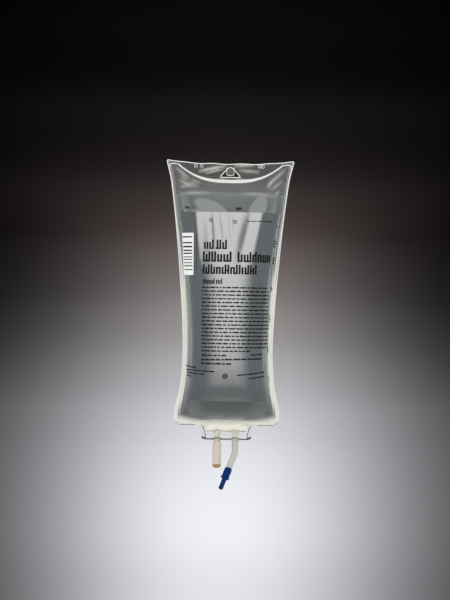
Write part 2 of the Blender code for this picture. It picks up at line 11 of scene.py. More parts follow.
import bmesh
import bpy
import numpy as np
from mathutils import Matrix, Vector


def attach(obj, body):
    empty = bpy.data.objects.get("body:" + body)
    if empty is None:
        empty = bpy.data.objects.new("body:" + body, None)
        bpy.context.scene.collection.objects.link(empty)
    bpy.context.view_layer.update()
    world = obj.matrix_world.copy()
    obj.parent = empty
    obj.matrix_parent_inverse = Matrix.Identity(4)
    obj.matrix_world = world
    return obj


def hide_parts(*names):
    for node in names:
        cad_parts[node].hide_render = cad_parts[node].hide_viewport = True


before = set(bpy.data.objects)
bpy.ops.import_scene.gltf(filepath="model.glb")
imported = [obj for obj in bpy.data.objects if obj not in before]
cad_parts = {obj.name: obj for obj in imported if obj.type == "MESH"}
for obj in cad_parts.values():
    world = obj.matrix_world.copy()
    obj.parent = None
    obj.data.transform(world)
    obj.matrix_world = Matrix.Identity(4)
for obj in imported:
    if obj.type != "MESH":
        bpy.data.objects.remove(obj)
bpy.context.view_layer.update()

# Film and welds, as in the solids
BAG_WIDTH = 0.1318
FILM_THICKNESS = 0.0004
SIDE_WELD = 0.0035
LAND_ABOVE_HOOK = 0.0036
FLOOR_WELD = 0.0020
TOP_CORNER_RADIUS = 0.0018
BOTTOM_CORNER_RADIUS = 0.0085
HANGING_WIDTHS = ((-0.257, 0.1080), (-0.222, 0.0962), (-0.180, 0.0926), (-0.095, 0.1036), (-0.018, 0.1204))
SMILE_DROP = 0.0150
SMILE_RISE = 0.0185
SMILE_POWER = 2.7
CHAMBER_TOP = 0.0021
TOP_SLOPE = math.radians(39)
CHAMBER_FLOOR = -0.2632
FLOOR_ROUND = 0.031
LIQUID_LEVEL = -0.0263
TIP_RISE = 0.0038
TIP_POWER = 3
TIP_FADE = 0.034
EDGE_RIPPLE = 0.0004
RIPPLE_WAVE, RIPPLE_SHIFT = 210, 0.9
WELD_SWAY = 0.0006
SWAY_WAVE, SWAY_SHIFT = 95, 1.7
SKIRT_CURL = 0.00288
COLLAR_TANGENT = math.radians(38)
PUCKER_HEIGHT = 0.00004
PUCKER_REACH = 0.007
PUCKER_WAVE, PUCKER_SHIFT = 330, 1.3
PUCKER_STRAY, PUCKER_SLANT, PUCKER_SWELL = 131, 40, 57

# Hanger slot and its tongue
SLOT_TOP_RADIUS = 0.0037
SLOT_BASE_WIDTH = 0.0190
SLOT_BASE_RADIUS = 0.0009
SLOT_HEIGHT = 0.0103
TONGUE_LENGTH = 0.0090
TONGUE_ROOT_WIDTH = 0.0074
TONGUE_TIP_WIDTH = 0.0080
TONGUE_WHITE = 0.07
TONGUE_ANGLE = math.radians(32)
TONGUE_ROOT = -0.0006
TONGUE_FLARE = 1.6
TONGUE_BEND_END = 0.35
TONGUE_ROUND_FROM = 0.82

# Neck, skirt and ports
NECK_WIDTH = 0.0430
NECK_LENGTH = 0.0067
NECK_DEPTH = 0.0046
NECK_POWER = 4
SKIRT_WIDTH = 0.0536
SKIRT_LENGTH = 0.0160
SKIRT_FILLET = 0.0032
SKIRT_CORNER_RADIUS = 0.0012
PORT_LEAN = math.radians(26)
PORT_PLACES = (-0.0095, 0.0090)
PORT_TUBE_RADIUS = 0.00325

# Label panel
PANEL_TOP = -0.0469
PANEL_BOTTOM = -0.2390
PANEL_SIDE_MARGIN_TOP = 0.0010
PANEL_SIDE_MARGIN_LOW = 0.0058
PANEL_TAPER_DROP = 0.080

# Sizes that follow
HALF_WIDTH = BAG_WIDTH / 2
CHAMBER_HALF = HALF_WIDTH - SIDE_WELD
BAG_EDGE = CHAMBER_FLOOR - FLOOR_WELD
SKIRT_END = BAG_EDGE - SKIRT_LENGTH
SHEET_OFFSET = 0.00035
FILM_FACE = FILM_THICKNESS / 2
FRONT, BACK = -1, 1

# The bead of the weld round the chamber: it runs a little outside the film's own line at the shoulders
WELD_OUT = 0.0004
WELD_DRIFT = 0.0022
WELD_DRIFT_FROM, WELD_DRIFT_TO = -0.045, -0.12
WELD_CORNER = 0.0062
WELD_SHOULDER_DROP = 0.0016
WELD_FLOOR_DROP = 0.0006
SMILE_END_INSET = 0.0045
SMILE_POINTS = 50
SMILE_BEAD = 0.0034
SMILE_BEAD_ENDS = 0.0016
SIDE_BEAD = 0.0008
SIDE_BEAD_LOW = 0.0020
BEAD_SINK = 0.00005

# Heights of the coat and the inks over the middle of the film, and the size of the print's cells
COAT_LIFT = FILM_FACE + 0.00008
COAT_THICKNESS = 0.0001
FIELD_LIFT = 0.00037
INK_LIFT = 0.00045
INK_THICKNESS = 0.00006
INK_CELL = 0.0016

# The liquid's distance from the film and from the side welds, and how thin it gets at its rim
LIQUID_GAP = 0.0003
LIQUID_SIDE_GAP = 0.0002
LIQUID_LEAST = 0.0001

# Where the film is drawn white, as a share of full cover: its own milky white in its welded land, down its
# neck, round the tubes and in part along its sharp creases; painted light as a glow where it turns under, as
# highlights along the creases and on the petals, and as bright strips just inside the side welds, where the
# liquid bends the side light to the eye
# The painted glow where the film turns under: where it starts and where it is full, how far it climbs to the
# sides, and its share
UNDER_GLOW_START = -0.2572
UNDER_GLOW_FULL = -0.2672
UNDER_GLOW_RISE = 0.0083
UNDER_GLOW_COVER = 0.97
CORNER_FADE = 0.55
LAND_WHITE_TOP = 0.04
LAND_WHITE_LOW = 0.22
CORNER_CREASE_WHITE_AND_HIGHLIGHT = 0.10
PETAL_HIGHLIGHT = 0.07
LAND_CREASE_HIGHLIGHT = 0.16
FUSED_BODY = 0.25
CREASE_HEIGHT = 0.00045
LAND_CREASE_HEIGHT = 0.001
NECK_FLARE = 0.006
COLLAR_WHITE = 0.30
# Painted light just inside the side welds: its share, where it starts and is full across, and where it
# starts, is full and ends down the bag
MARGIN_PAINTED_LIGHT = 0.45
MARGIN_INNER, MARGIN_OUTER = CHAMBER_HALF - 0.0075, CHAMBER_HALF - 0.0045
MARGIN_FROM, MARGIN_FULL, MARGIN_END = -0.100, -0.130, -0.235

# Fineness of the film: about one cell for each 1.5 mm
CELL = 0.0015
SHARP_FROM = math.radians(50)


def srgb(code):
    """Linear red, green, blue and alpha of an sRGB hex colour."""
    values = [int(code[i : i + 2], 16) / 255 for i in (1, 3, 5)]
    return (*[v / 12.92 if v <= 0.04045 else ((v + 0.055) / 1.055) ** 2.4 for v in values], 1)


def smoothstep(low, high, value):
    """Runs from 0 at low to 1 at high, level at both ends."""
    share = np.clip((value - low) / (high - low), 0, 1)
    return share * share * (3 - 2 * share)


# The form of the hanging bag


def hung_half_width(h):
    """Half the width of the hanging film at each height, by a smooth curve through its sections."""
    heights = np.array([low for low, _ in HANGING_WIDTHS] + [LAND_ABOVE_HOOK + TIP_RISE])
    halves = np.array([width / 2 for _, width in HANGING_WIDTHS] + [HALF_WIDTH])
    slopes = np.empty(len(heights))
    slopes[1:-1] = (halves[2:] - halves[:-2]) / (heights[2:] - heights[:-2])
    slopes[-1] = (halves[-1] - halves[-2]) / (heights[-1] - heights[-2])
    slopes[0] = 0
    h = np.clip(h, heights[0], heights[-1])
    i = np.clip(np.searchsorted(heights, h, side="right") - 1, 0, len(heights) - 2)
    span = heights[i + 1] - heights[i]
    t = (h - heights[i]) / span
    ends = halves[i] * (1 + 2 * t) * (1 - t) ** 2 + halves[i + 1] * t * t * (3 - 2 * t)
    return ends + span * t * (1 - t) * (slopes[i] * (1 - t) - slopes[i + 1] * t)


def film_arc(h):
    """Radius and half angle of the arc that the film makes at each height."""
    share = np.minimum((hung_half_width(h) - SIDE_WELD) / CHAMBER_HALF, 0.9995)
    angle = np.sqrt(6 * (1 - share))
    for _ in range(12):
        miss = np.sin(angle) / angle - share
        angle = angle - miss * angle**2 / (angle * np.cos(angle) - np.sin(angle))
    return CHAMBER_HALF / angle, angle


def top_weld(s):
    """Height of the chamber's upper end: the weld dips in the middle as a smile."""
    rise = SMILE_RISE * (np.abs(s) / (CHAMBER_HALF - SIDE_WELD)) ** SMILE_POWER
    return np.minimum(rise - SMILE_DROP, CHAMBER_TOP)


def neck_depth(s, h):
    """Half the depth of the neck, which closes downwards and to both sides."""
    side = np.maximum(0, 1 - np.abs(2 * s / NECK_WIDTH) ** NECK_POWER)
    close = np.clip((h - CHAMBER_FLOOR + NECK_LENGTH) / NECK_LENGTH, 0, 1)
    return NECK_DEPTH * np.sqrt(side * close)


def collar_depth(s, h):
    """How far the film stands out where it is formed round the port tubes, and falls straight off them."""
    radius = PORT_TUBE_RADIUS + 0.0002
    depth = np.zeros_like(s)
    for x in PORT_PLACES:
        off = np.abs(s - x)
        round_part = np.sqrt(np.maximum(radius**2 - off**2, 0))
        tangent = radius / math.cos(COLLAR_TANGENT) - off * math.tan(COLLAR_TANGENT)
        on_tube = off < radius * math.sin(COLLAR_TANGENT)
        depth = np.maximum(depth, np.where(on_tube, round_part, np.maximum(tangent, 0)))
    return depth * smoothstep(0, 0.0015, BAG_EDGE - h)


def tip_lift(s, h):
    """How far the hook's pull raises the top corners over the middle, with the ripple of the top edge."""
    pull = TIP_RISE * (np.abs(s) / HALF_WIDTH) ** TIP_POWER * smoothstep(-TIP_FADE, LAND_ABOVE_HOOK, h)
    ripple = EDGE_RIPPLE * np.sin(s * RIPPLE_WAVE - RIPPLE_SHIFT) * np.clip(1 - (s / HALF_WIDTH) ** 2, 0, 1)
    return pull + ripple * smoothstep(-0.003, LAND_ABOVE_HOOK, h)


def section(s, h):
    """Where flat points lie across the hanging bag, and how far from the weld plane."""
    radius, angle = film_arc(h + tip_lift(s, h))
    inner = np.clip(s, -CHAMBER_HALF, CHAMBER_HALF)
    across = radius * np.sin(inner / radius) + s - inner
    arc = np.maximum(radius * (np.cos(inner / radius) - np.cos(angle)), 1e-7)
    opening = np.maximum(top_weld(s) - h, 0) * math.tan(TOP_SLOPE)
    up_floor = np.clip((h - CHAMBER_FLOOR) / FLOOR_ROUND, 0, 1)
    depth = arc * np.tanh(opening / arc) * np.sqrt(1 - (1 - up_floor) ** 2)
    low = h < CHAMBER_FLOOR + FLOOR_ROUND
    return across, np.where(low, np.maximum(depth, neck_depth(s, h)), depth)


# Folds of the film: start and end on the flat sheet, half width and height, all in millimetres
FRONT_FOLDS = (
    # Flutes that run down from the level of the liquid
    ((-38, -36), (-33, -106), 5.5, 2.20),
    ((-21, -38), (-17, -88), 1.8, -0.95),
    ((-14, -38), (-7, -84), 1.8, -0.95),
    ((0, -38), (3, -84), 1.8, -0.95),
    ((26.5, -36), (9.5, -104), 6.0, -2.60),
    ((37, -36), (24, -104), 5.5, 1.00),
    ((56, -44), (54, -90), 3.5, 0.30),
    # Petals just above the panel
    ((-46, -38), (-24, -33), 2.6, 0.35),
    ((-28, -36), (-6, -46), 2.4, 0.30),
    ((13, -46), (26, -31), 2.4, 0.35),
    ((-50, -43), (-33, -39), 2.0, -0.30),
)
# Creases that spread from the top corners, where the film turns white as well, with painted highlights for
# the light they catch
CORNER_CREASES = (
    ((-58, -3), (-33, -22), 1.5, 0.45),
    ((-56, -11), (-30, -17), 1.6, -0.35),
    ((-57, -15), (-38, -21), 1.5, 0.45),
    ((-57, -22), (-42, -19), 1.3, 0.35),
    ((-52, -28), (-20, -27), 1.8, -0.40),
    ((59, -4), (38, -20), 1.6, 0.40),
    ((46, -12), (40, -22), 1.3, 0.35),
    ((58, -14), (44, -24), 1.6, -0.30),
    ((56, -24), (47, -30), 1.5, 0.40),
    ((48, -30), (12, -27), 1.8, -0.35),
)
BACK_FOLDS = (
    ((-30, -30), (-22, -100), 7.0, 0.60),
    ((-2, -34), (-4, -110), 8.0, -0.50),
    ((24, -30), (20, -104), 7.5, 0.60),
    ((-58, -4), (-36, -26), 1.8, 0.45),
    ((-55, -14), (-34, -22), 1.6, -0.30),
    ((58, -5), (38, -26), 1.8, 0.45),
    ((55, -16), (36, -24), 1.6, -0.30),
    ((-50, -236), (-34, -252), 2.4, 0.35),
    ((50, -236), (34, -252), 2.4, 0.35),
)
# Lobes of the front film just above the panel, painted pale as highlights where its folds would mirror the
# light: centre and half sizes in millimetres, lean
PETALS = (
    ((-20.5, -42.0), (19.0, 7.2), math.radians(-20)),
    ((-35.0, -46.5), (6.5, 2.6), 0.0),
    ((29.0, -45.5), (17.5, 9.2), math.radians(62)),
)
# Folds of both films together, where they are welded
LAND_FOLDS = (
    ((-34, -5), (-3, 2), 1.5, 1.0),
    ((-27, -7), (-6, -1.5), 1.2, -0.7),
    ((3, 1.5), (26, 3.5), 1.5, 1.0),
    ((8, -3), (31, -4.5), 1.6, 0.6),
    ((-14, -13), (-4, -10.5), 1.2, 0.5),
    ((4, -10.5), (15, -13), 1.2, 0.5),
    ((31, 4), (33, 1), 1.0, 0.5),
    ((-62, 6), (-52, 2), 1.6, 0.4),
    ((62, 6), (52, 2), 1.6, 0.4),
)


def relief(s, h, folds):
    """Height of the folds at each flat point: a round ridge or groove that fades to both its ends."""
    total = np.zeros_like(s)
    for start, end, half_width, height in folds:
        start, end = np.array(start) / 1000, np.array(end) / 1000
        length = np.hypot(*(end - start))
        way = (end - start) / length
        along = ((s - start[0]) * way[0] + (h - start[1]) * way[1]) / length
        off = (s - start[0]) * way[1] - (h - start[1]) * way[0]
        fade = np.sin(math.pi * np.clip(along, 0, 1)) ** 0.7
        total += height / 1000 * np.exp(-((off * 1000 / half_width) ** 2)) * fade
    return total


def weld_puckers(s, h, side):
    """Small gathers that the pull of the liquid makes along the side welds, fading down the bag."""
    from_weld = CHAMBER_HALF - np.abs(s)
    reach = np.exp(-np.maximum(from_weld, 0) / PUCKER_REACH)
    stray = 2 * np.sin(h * PUCKER_STRAY + side + s * PUCKER_SLANT)
    wave = np.sin(h * PUCKER_WAVE + stray + np.sign(s) * PUCKER_SHIFT)
    height = PUCKER_HEIGHT * (1 + np.sin(h * PUCKER_SWELL + 2 * side + np.sign(s)))
    height = height * smoothstep(-0.17, -0.08, h)
    inside = smoothstep(0.003, 0.010, from_weld) * smoothstep(0, 0.02, top_weld(s) - h)
    return height * wave * reach * inside * smoothstep(0, 0.02, h - CHAMBER_FLOOR)


def sway(s, h):
    """How far both films drift together from the weld plane: waves of the welds, curled skirt ends."""
    edge = smoothstep(CHAMBER_HALF - 0.02, CHAMBER_HALF, np.abs(s)) * smoothstep(0, 0.02, h - CHAMBER_FLOOR)
    wave = WELD_SWAY * np.sin(h * SWAY_WAVE + SWAY_SHIFT * np.sign(s)) * edge
    past_neck = smoothstep(NECK_WIDTH / 2, SKIRT_WIDTH / 2, np.abs(s))
    curl = SKIRT_CURL * past_neck * smoothstep(0, 0.004, BAG_EDGE - h)
    return wave + relief(s, h, LAND_FOLDS) - curl


def formed(s, h, side, lift=0.0):
    """Places of flat points on the hanging front or back film, lift off its middle, as rows of x, y, z."""
    s, h = np.asarray(s, float), np.asarray(h, float)
    across, depth = section(s, h)
    folds = FRONT_FOLDS + CORNER_CREASES if side == FRONT else BACK_FOLDS
    swell = (relief(s, h, folds) + weld_puckers(s, h, side)) * smoothstep(0, 0.003, depth)
    depth = np.maximum(depth + swell, collar_depth(s, h))
    lean = PORT_LEAN * smoothstep(0, NECK_LENGTH, BAG_EDGE + FLOOR_WELD - h)
    below = np.maximum(BAG_EDGE - h, 0)
    out = side * (depth + SHEET_OFFSET + lift) + sway(s, h)
    y = out * np.cos(lean) - below * math.sin(PORT_LEAN)
    z = h + tip_lift(s, h) - out * np.sin(lean) + below * (1 - math.cos(PORT_LEAN))
    return np.stack([across, y, z], axis=-1)


def underside_glow_and_milk(s, h):
    """Painted glow where the film turns under the bag, for the light that the liquid pipes down to it, less
    towards the corners. On down the neck the white is also the welded film's own milk.
    """
    across, _ = section(s, h)
    share = across / hung_half_width(h)
    white = UNDER_GLOW_COVER * (1 - smoothstep(UNDER_GLOW_FULL, UNDER_GLOW_START, h - UNDER_GLOW_RISE * share**4))
    white = white * (1 - CORNER_FADE * share**2)
    below = BAG_EDGE - h
    flare = NECK_FLARE * np.clip(1 - below / NECK_LENGTH, 0, 1) ** 2
    in_neck = smoothstep(0.0005, -0.0010, np.abs(s) - NECK_WIDTH / 2 - flare)
    in_neck = in_neck * smoothstep(NECK_LENGTH + 0.0003, NECK_LENGTH - 0.0007, below)
    return np.where(h < BAG_EDGE, white * in_neck, white)


def welded_land(s, h):
    """White of the side welds, more so down the bag."""
    white = LAND_WHITE_TOP + (LAND_WHITE_LOW - LAND_WHITE_TOP) * smoothstep(-0.03, -0.16, h)
    return white * smoothstep(CHAMBER_HALF - 0.0003, CHAMBER_HALF + 0.0006, np.abs(s)) * (h > BAG_EDGE)


def side_margin_painted_light(s, h):
    """Painted light on the film just inside the side welds, from the middle of the panel down: it stands for
    the light from the sides that the liquid bends to the eye there.
    """
    white = MARGIN_PAINTED_LIGHT * smoothstep(MARGIN_INNER, MARGIN_OUTER, np.abs(s))
    return white * smoothstep(MARGIN_FROM, MARGIN_FULL, h) * smoothstep(CHAMBER_FLOOR, MARGIN_END, h)


def crease_white_and_highlights(s, h):
    """Along the creases of the corners, the film's own white with painted highlights; along those of the top
    land, painted highlights.
    """
    corners = CORNER_CREASE_WHITE_AND_HIGHLIGHT * np.abs(relief(s, h, CORNER_CREASES)) / CREASE_HEIGHT
    return np.maximum(corners, LAND_CREASE_HIGHLIGHT * np.abs(relief(s, h, LAND_FOLDS)) / LAND_CREASE_HEIGHT)


def petal_highlights(s, h, side):
    """Painted highlights on the front film's lobes."""
    white = np.zeros_like(s)
    lobes = PETALS if side == FRONT else ()
    for (middle_s, middle_h), (wide, tall), lean in lobes:
        right, up = s * 1000 - middle_s, h * 1000 - middle_h
        along = (right * math.cos(lean) + up * math.sin(lean)) / wide
        across = (up * math.cos(lean) - right * math.sin(lean)) / tall
        white = np.maximum(white, PETAL_HIGHLIGHT * smoothstep(1.08, 0.88, np.hypot(along, across)))
    return white


def haze_share(s, h):
    """How far the film's haze shows: in full over the chamber, less in the fused land, not in the skirt."""
    in_chamber = smoothstep(0.001, -0.001, h - top_weld(s))
    return (FUSED_BODY + (1 - FUSED_BODY) * in_chamber) * smoothstep(BAG_EDGE - 0.002, BAG_EDGE, h)


def whiteness_and_painted_light(s, h, side):
    """How much white the film has at each flat point, its own and painted light together, and how far its
    haze shows there.
    """
    collars = COLLAR_WHITE * smoothstep(0, 0.0012, collar_depth(s, h))
    edges = [underside_glow_and_milk(s, h), welded_land(s, h), side_margin_painted_light(s, h)]
    return np.maximum.reduce([*edges, crease_white_and_highlights(s, h), petal_highlights(s, h, side), collars]), haze_share(s, h)


# Flat outlines


def arc_points(centre, radius, start, end, steps=10):
    """Points along an arc in the flat sheet, angles in degrees."""
    angles = np.radians(np.linspace(start, end, steps + 1))
    return [(centre[0] + radius * math.cos(a), centre[1] + radius * math.sin(a)) for a in angles]


def slot_side():
    """The right side of the slot's outline, from its base up to the hook's seat."""
    pin_x = SLOT_BASE_WIDTH / 2 - SLOT_BASE_RADIUS
    pin_h = -SLOT_HEIGHT + SLOT_BASE_RADIUS
    across, down = pin_x, -SLOT_TOP_RADIUS - pin_h
    meets = math.acos((SLOT_TOP_RADIUS - SLOT_BASE_RADIUS) / math.hypot(across, down))
    tangent = math.degrees(math.atan2(-down, across) + meets)
    pin = arc_points((pin_x, pin_h), SLOT_BASE_RADIUS, -90, tangent)
    return [(0, -SLOT_HEIGHT), *pin, *arc_points((0, -SLOT_TOP_RADIUS), SLOT_TOP_RADIUS, tangent, 90)]


def skirt_fillet():
    """The right inner corner between the bag's lower edge and its skirt."""
    middle = (SKIRT_WIDTH / 2 + SKIRT_FILLET, BAG_EDGE - SKIRT_FILLET)
    return arc_points(middle, SKIRT_FILLET, 90, 180)


def bag_side():
    """The right side of the bag's outline, from the middle of its top edge to where the skirt starts."""
    corner, top = BOTTOM_CORNER_RADIUS, TOP_CORNER_RADIUS
    side = [(0, LAND_ABOVE_HOOK)]
    side += arc_points((HALF_WIDTH - top, LAND_ABOVE_HOOK - top), top, 90, 0)
    side += arc_points((HALF_WIDTH - corner, BAG_EDGE + corner), corner, 0, -90)
    return [*side, skirt_fillet()[0]]


def film_side():
    """The right side of the whole film's outline, down to the middle of the skirt's end."""
    tip = SKIRT_CORNER_RADIUS
    side = bag_side() + skirt_fillet()[1:]
    side += arc_points((SKIRT_WIDTH / 2 - tip, SKIRT_END + tip), tip, 0, -90)
    return [*side, (0, SKIRT_END)]


def panel_edge(h):
    """How far the panel reaches across the flat film at height h."""
    taper = smoothstep(0, PANEL_TAPER_DROP, PANEL_TOP - h)
    margin = PANEL_SIDE_MARGIN_TOP + (PANEL_SIDE_MARGIN_LOW - PANEL_SIDE_MARGIN_TOP) * taper
    radius, _ = film_arc(h)
    return radius * np.arcsin(np.minimum((hung_half_width(h) - SIDE_WELD - margin) / radius, 1))


def panel_side():
    """The right side of the panel's outline, from the middle of its top edge to that of its bottom."""
    heights = np.linspace(PANEL_TOP, PANEL_BOTTOM, 60)
    return [(0, PANEL_TOP), *zip(panel_edge(heights), heights), (0, PANEL_BOTTOM)]


def flat_grid(right_side):
    """Mirrors the right half of an outline and divides it into cells. Its points are s, 0, h."""
    bm = bmesh.new()
    bm.faces.new([bm.verts.new((s, 0, h)) for s, h in right_side])
    low = min(h for _, h in right_side)
    high = max(h for _, h in right_side)
    reach = max(s for s, _ in right_side)
    cuts = [((0, 0, h), (0, 0, 1)) for h in np.arange(low + CELL / 2, high, CELL)]
    cuts += [((s, 0, 0), (1, 0, 0)) for s in np.arange(CELL, reach, CELL)]
    for point, normal in cuts:
        everything = bm.verts[:] + bm.edges[:] + bm.faces[:]
        bmesh.ops.bisect_plane(bm, geom=everything, dist=1e-6, plane_co=point, plane_no=normal)
    everything = bm.verts[:] + bm.edges[:] + bm.faces[:]
    bmesh.ops.mirror(bm, geom=everything, axis="X", merge_dist=1e-6)
    bmesh.ops.remove_doubles(bm, verts=bm.verts, dist=1e-6)
    bmesh.ops.triangulate(bm, faces=[f for f in bm.faces if len(f.verts) > 4])
    return bm


# Making pieces


def add_piece(name, bm, material):
    """Turns a bmesh into an object with its material, smooth but for its sharp edges."""
    bmesh.ops.recalc_face_normals(bm, faces=bm.faces)
    mesh = bpy.data.meshes.new(name)
    bm.to_mesh(mesh)
    bm.free()
    mesh.shade_smooth()
    mesh.set_sharp_from_angle(angle=SHARP_FROM)
    mesh.materials.append(material)
    obj = bpy.data.objects.new(name, mesh)
    bpy.context.scene.collection.objects.link(obj)
    return obj


def hang_flat(bm, side, low, high):
    """Carries a flat grid to the hanging bag as a closed sheet between two lifts from the film's middle."""
    flat = np.array([v.co[:] for v in bm.verts])
    lower = formed(flat[:, 0], flat[:, 2], side, low)
    upper = formed(flat[:, 0], flat[:, 2], side, high)
    count = len(bm.verts)
    for vert, place in zip(bm.verts, upper):
        vert.co = place
    looks = [bm.verts.layers.float.new(name) for name in ("white", "hazy")]
    whites = list(zip(*whiteness_and_painted_light(flat[:, 0], flat[:, 2], side)))
    rim = [(e.verts[0].index, e.verts[1].index) for e in bm.edges if e.is_boundary]
    faces = [[v.index for v in f.verts] for f in bm.faces]
    verts = list(bm.verts) + [bm.verts.new(place) for place in lower]
    for face in faces:
        bm.faces.new([verts[i + count] for i in reversed(face)])
    for a, b in rim:
        bm.faces.new([verts[a], verts[b], verts[b + count], verts[a + count]])
    for vert, values in zip(verts, whites + whites):
        for layer, value in zip(looks, values):
            vert[layer] = value


def sheet_piece(name, right_side, side, low, high, material):
    """A piece of film or coat, cut to an outline and hung."""
    bm = flat_grid(right_side)
    bm.verts.index_update()
    hang_flat(bm, side, low, high)
    return add_piece(name, bm, material)


def strip(bm, path, width, side, base, height, closed=False):
    """A bead that follows a flat path on the film: round on top, closed below."""
    points = np.array(path, float)
    ahead = np.roll(points, -1, axis=0) - np.roll(points, 1, axis=0)
    if not closed:
        ahead[0], ahead[-1] = points[1] - points[0], points[-1] - points[-2]
    ahead /= np.hypot(ahead[:, 0], ahead[:, 1])[:, None]
    across = np.stack([-ahead[:, 1], ahead[:, 0]], axis=-1)
    profile = [(-0.5, 0.0), (-0.3, 0.8), (0.0, 1.0), (0.3, 0.8), (0.5, 0.0)]
    rows = []
    for share, rise in profile:
        at = points + across * width * share
        rows.append(formed(at[:, 0], at[:, 1], side, base + height * rise))
    rings = [[bm.verts.new(row[i]) for row in rows] for i in range(len(points))]
    pairs = list(zip(rings, rings[1:])) + ([(rings[-1], rings[0])] if closed else [])
    for first, second in pairs:
        for k in range(len(profile)):
            bm.faces.new([first[k], first[k - 1], second[k - 1], second[k]])
    if not closed:
        bm.faces.new(rings[0])
        bm.faces.new(rings[-1])


def resample(path, step=0.0012):
    """The same flat path with its points about step apart."""
    points = np.array(path, float)
    lengths = np.hypot(*np.diff(points, axis=0).T)
    keep = np.append(True, lengths > 1e-7)
    points = points[keep]
    at = np.append(0, np.cumsum(lengths[keep[1:]]))
    new = np.linspace(0, at[-1], max(int(at[-1] / step), 2) + 1)
    return np.stack([np.interp(new, at, points[:, 0]), np.interp(new, at, points[:, 1])], axis=-1)


def both_sides(right_side):
    """A whole path across the bag from the half that runs outwards from its middle."""
    return [(-s, h) for s, h in reversed(right_side)] + list(right_side)


def weld_path():
    """Middle of the weld round the chamber, from the middle of its top down to the neck."""
    line = CHAMBER_HALF + WELD_OUT
    peak = line + WELD_DRIFT - WELD_CORNER
    smile = np.linspace(0, peak - SMILE_END_INSET, SMILE_POINTS)
    path = [(s, float(top_weld(s)) + WELD_OUT) for s in smile]
    path += arc_points((peak, CHAMBER_TOP - WELD_SHOULDER_DROP - WELD_CORNER), WELD_CORNER, 84, 0, 12)
    for h in np.linspace(path[-1][1], WELD_DRIFT_TO, 30)[1:]:
        path.append((line + WELD_DRIFT * (1 - smoothstep(WELD_DRIFT_FROM, WELD_DRIFT_TO, h)), h))
    foot = (line - WELD_CORNER, CHAMBER_FLOOR - WELD_FLOOR_DROP + WELD_CORNER)
    return path + arc_points(foot, WELD_CORNER, 0, -90)


# Materials

PVC_IOR = 1.53
# In millimetres. The inks' real mottle and an eroded mould's real grain are near 0.1 mm: both are drawn
# coarser, so that they show
INK_MOTTLE = 0.5
SLEEVE_GRAIN, RUBBER_GRAIN, PROTECTOR_GRAIN = 0.7, 0.4, 0.55


def add_node(tree, kind, links=None, stops=None, **settings):
    """Adds a node with its settings and links.

    A link is an input's name or number with a socket or a plain value. Stops are the places and sRGB
    colours of a colour ramp.
    """
    made = tree.nodes.new(kind)
    if stops:
        made.color_ramp.interpolation = "CARDINAL"
        ends = made.color_ramp.elements
        ends[0].position, ends[0].color = stops[0][0], srgb(stops[0][1])
        ends[1].position, ends[1].color = stops[-1][0], srgb(stops[-1][1])
        for place, code in stops[1:-1]:
            ends.new(place).color = srgb(code)
    for key, value in settings.items():
        setattr(made, key, value)
    for key, value in (links or {}).items():
        if isinstance(value, bpy.types.NodeSocket):
            tree.links.new(value, made.inputs[key])
        else:
            made.inputs[key].default_value = value
    return made


def new_material(name, colour, roughness, **values):
    """A Principled material with its tree and shader. Values go by its inputs' names, _ for a space."""
    material = bpy.data.materials.new(name)
    material.use_nodes = True
    shader = material.node_tree.nodes["Principled BSDF"]
    shader.inputs["Base Color"].default_value = srgb(colour)
    shader.inputs["Roughness"].default_value = roughness
    for key, value in values.items():
        shader.inputs[key.replace("_", " ")].default_value = value
    return material, material.node_tree, shader


def clear_film(tree, shader, haze, edge_haze):
    """Lets light through but for a faint haze, denser along the film, and white where the sheet says: the
    film's own milky white and the light painted on it.
    """
    facing = add_node(tree, "ShaderNodeLayerWeight", {"Blend": 0.35}).outputs["Facing"]
    sharper = add_node(tree, "ShaderNodeMath", {0: facing, 1: 3.0}, operation="POWER").outputs[0]
    dense = add_node(
        tree, "ShaderNodeMath", {0: sharper, 1: edge_haze, 2: haze}, operation="MULTIPLY_ADD"
    ).outputs[0]
    hazy_share = add_node(tree, "ShaderNodeAttribute", attribute_name="hazy").outputs["Fac"]
    cover = add_node(tree, "ShaderNodeMath", {0: dense, 1: hazy_share}, operation="MULTIPLY").outputs[0]
    window = add_node(tree, "ShaderNodeBsdfTransparent").outputs[0]
    hazy = add_node(tree, "ShaderNodeMixShader", {0: cover, 1: window, 2: shader.outputs[0]}).outputs[0]
    # Only the outer face mirrors. The inner one would trap light that a real film lets out.
    gloss = add_node(tree, "ShaderNodeBsdfGlossy", {"Roughness": shader.inputs["Roughness"].default_value})
    mirrors = add_node(tree, "ShaderNodeFresnel", {"IOR": PVC_IOR}).outputs[0]
    outer = add_node(tree, "ShaderNodeMixShader", {0: mirrors, 1: hazy, 2: gloss.outputs[0]}).outputs[0]
    inner = add_node(tree, "ShaderNodeNewGeometry").outputs["Backfacing"]
    sheet = add_node(tree, "ShaderNodeMixShader", {0: inner, 1: outer, 2: hazy}).outputs[0]
    milk_and_painted_light = add_node(tree, "ShaderNodeBsdfDiffuse", {"Color": srgb("#fffdf0")}).outputs[0]
    white = add_node(tree, "ShaderNodeAttribute", attribute_name="white").outputs["Fac"]
    whole = add_node(tree, "ShaderNodeMixShader", {0: white, 1: sheet, 2: milk_and_painted_light})
    tree.links.new(whole.outputs[0], tree.nodes["Material Output"].inputs["Surface"])
    return gloss


def grain(tree, shader, wave, height, detail=3.0):
    """A fine unevenness: wave is the length of one in millimetres, height is in millimetres too."""
    place = add_node(tree, "ShaderNodeTexCoord").outputs["Object"]
    links = {"Vector": place, "Scale": 1000 / wave, "Detail": detail}
    cloud = add_node(tree, "ShaderNodeTexNoise", links).outputs[0]
    bump = add_node(tree, "ShaderNodeBump", {"Height": cloud, "Distance": height / 1000})
    tree.links.new(bump.outputs["Normal"], shader.inputs["Normal"])
    return cloud


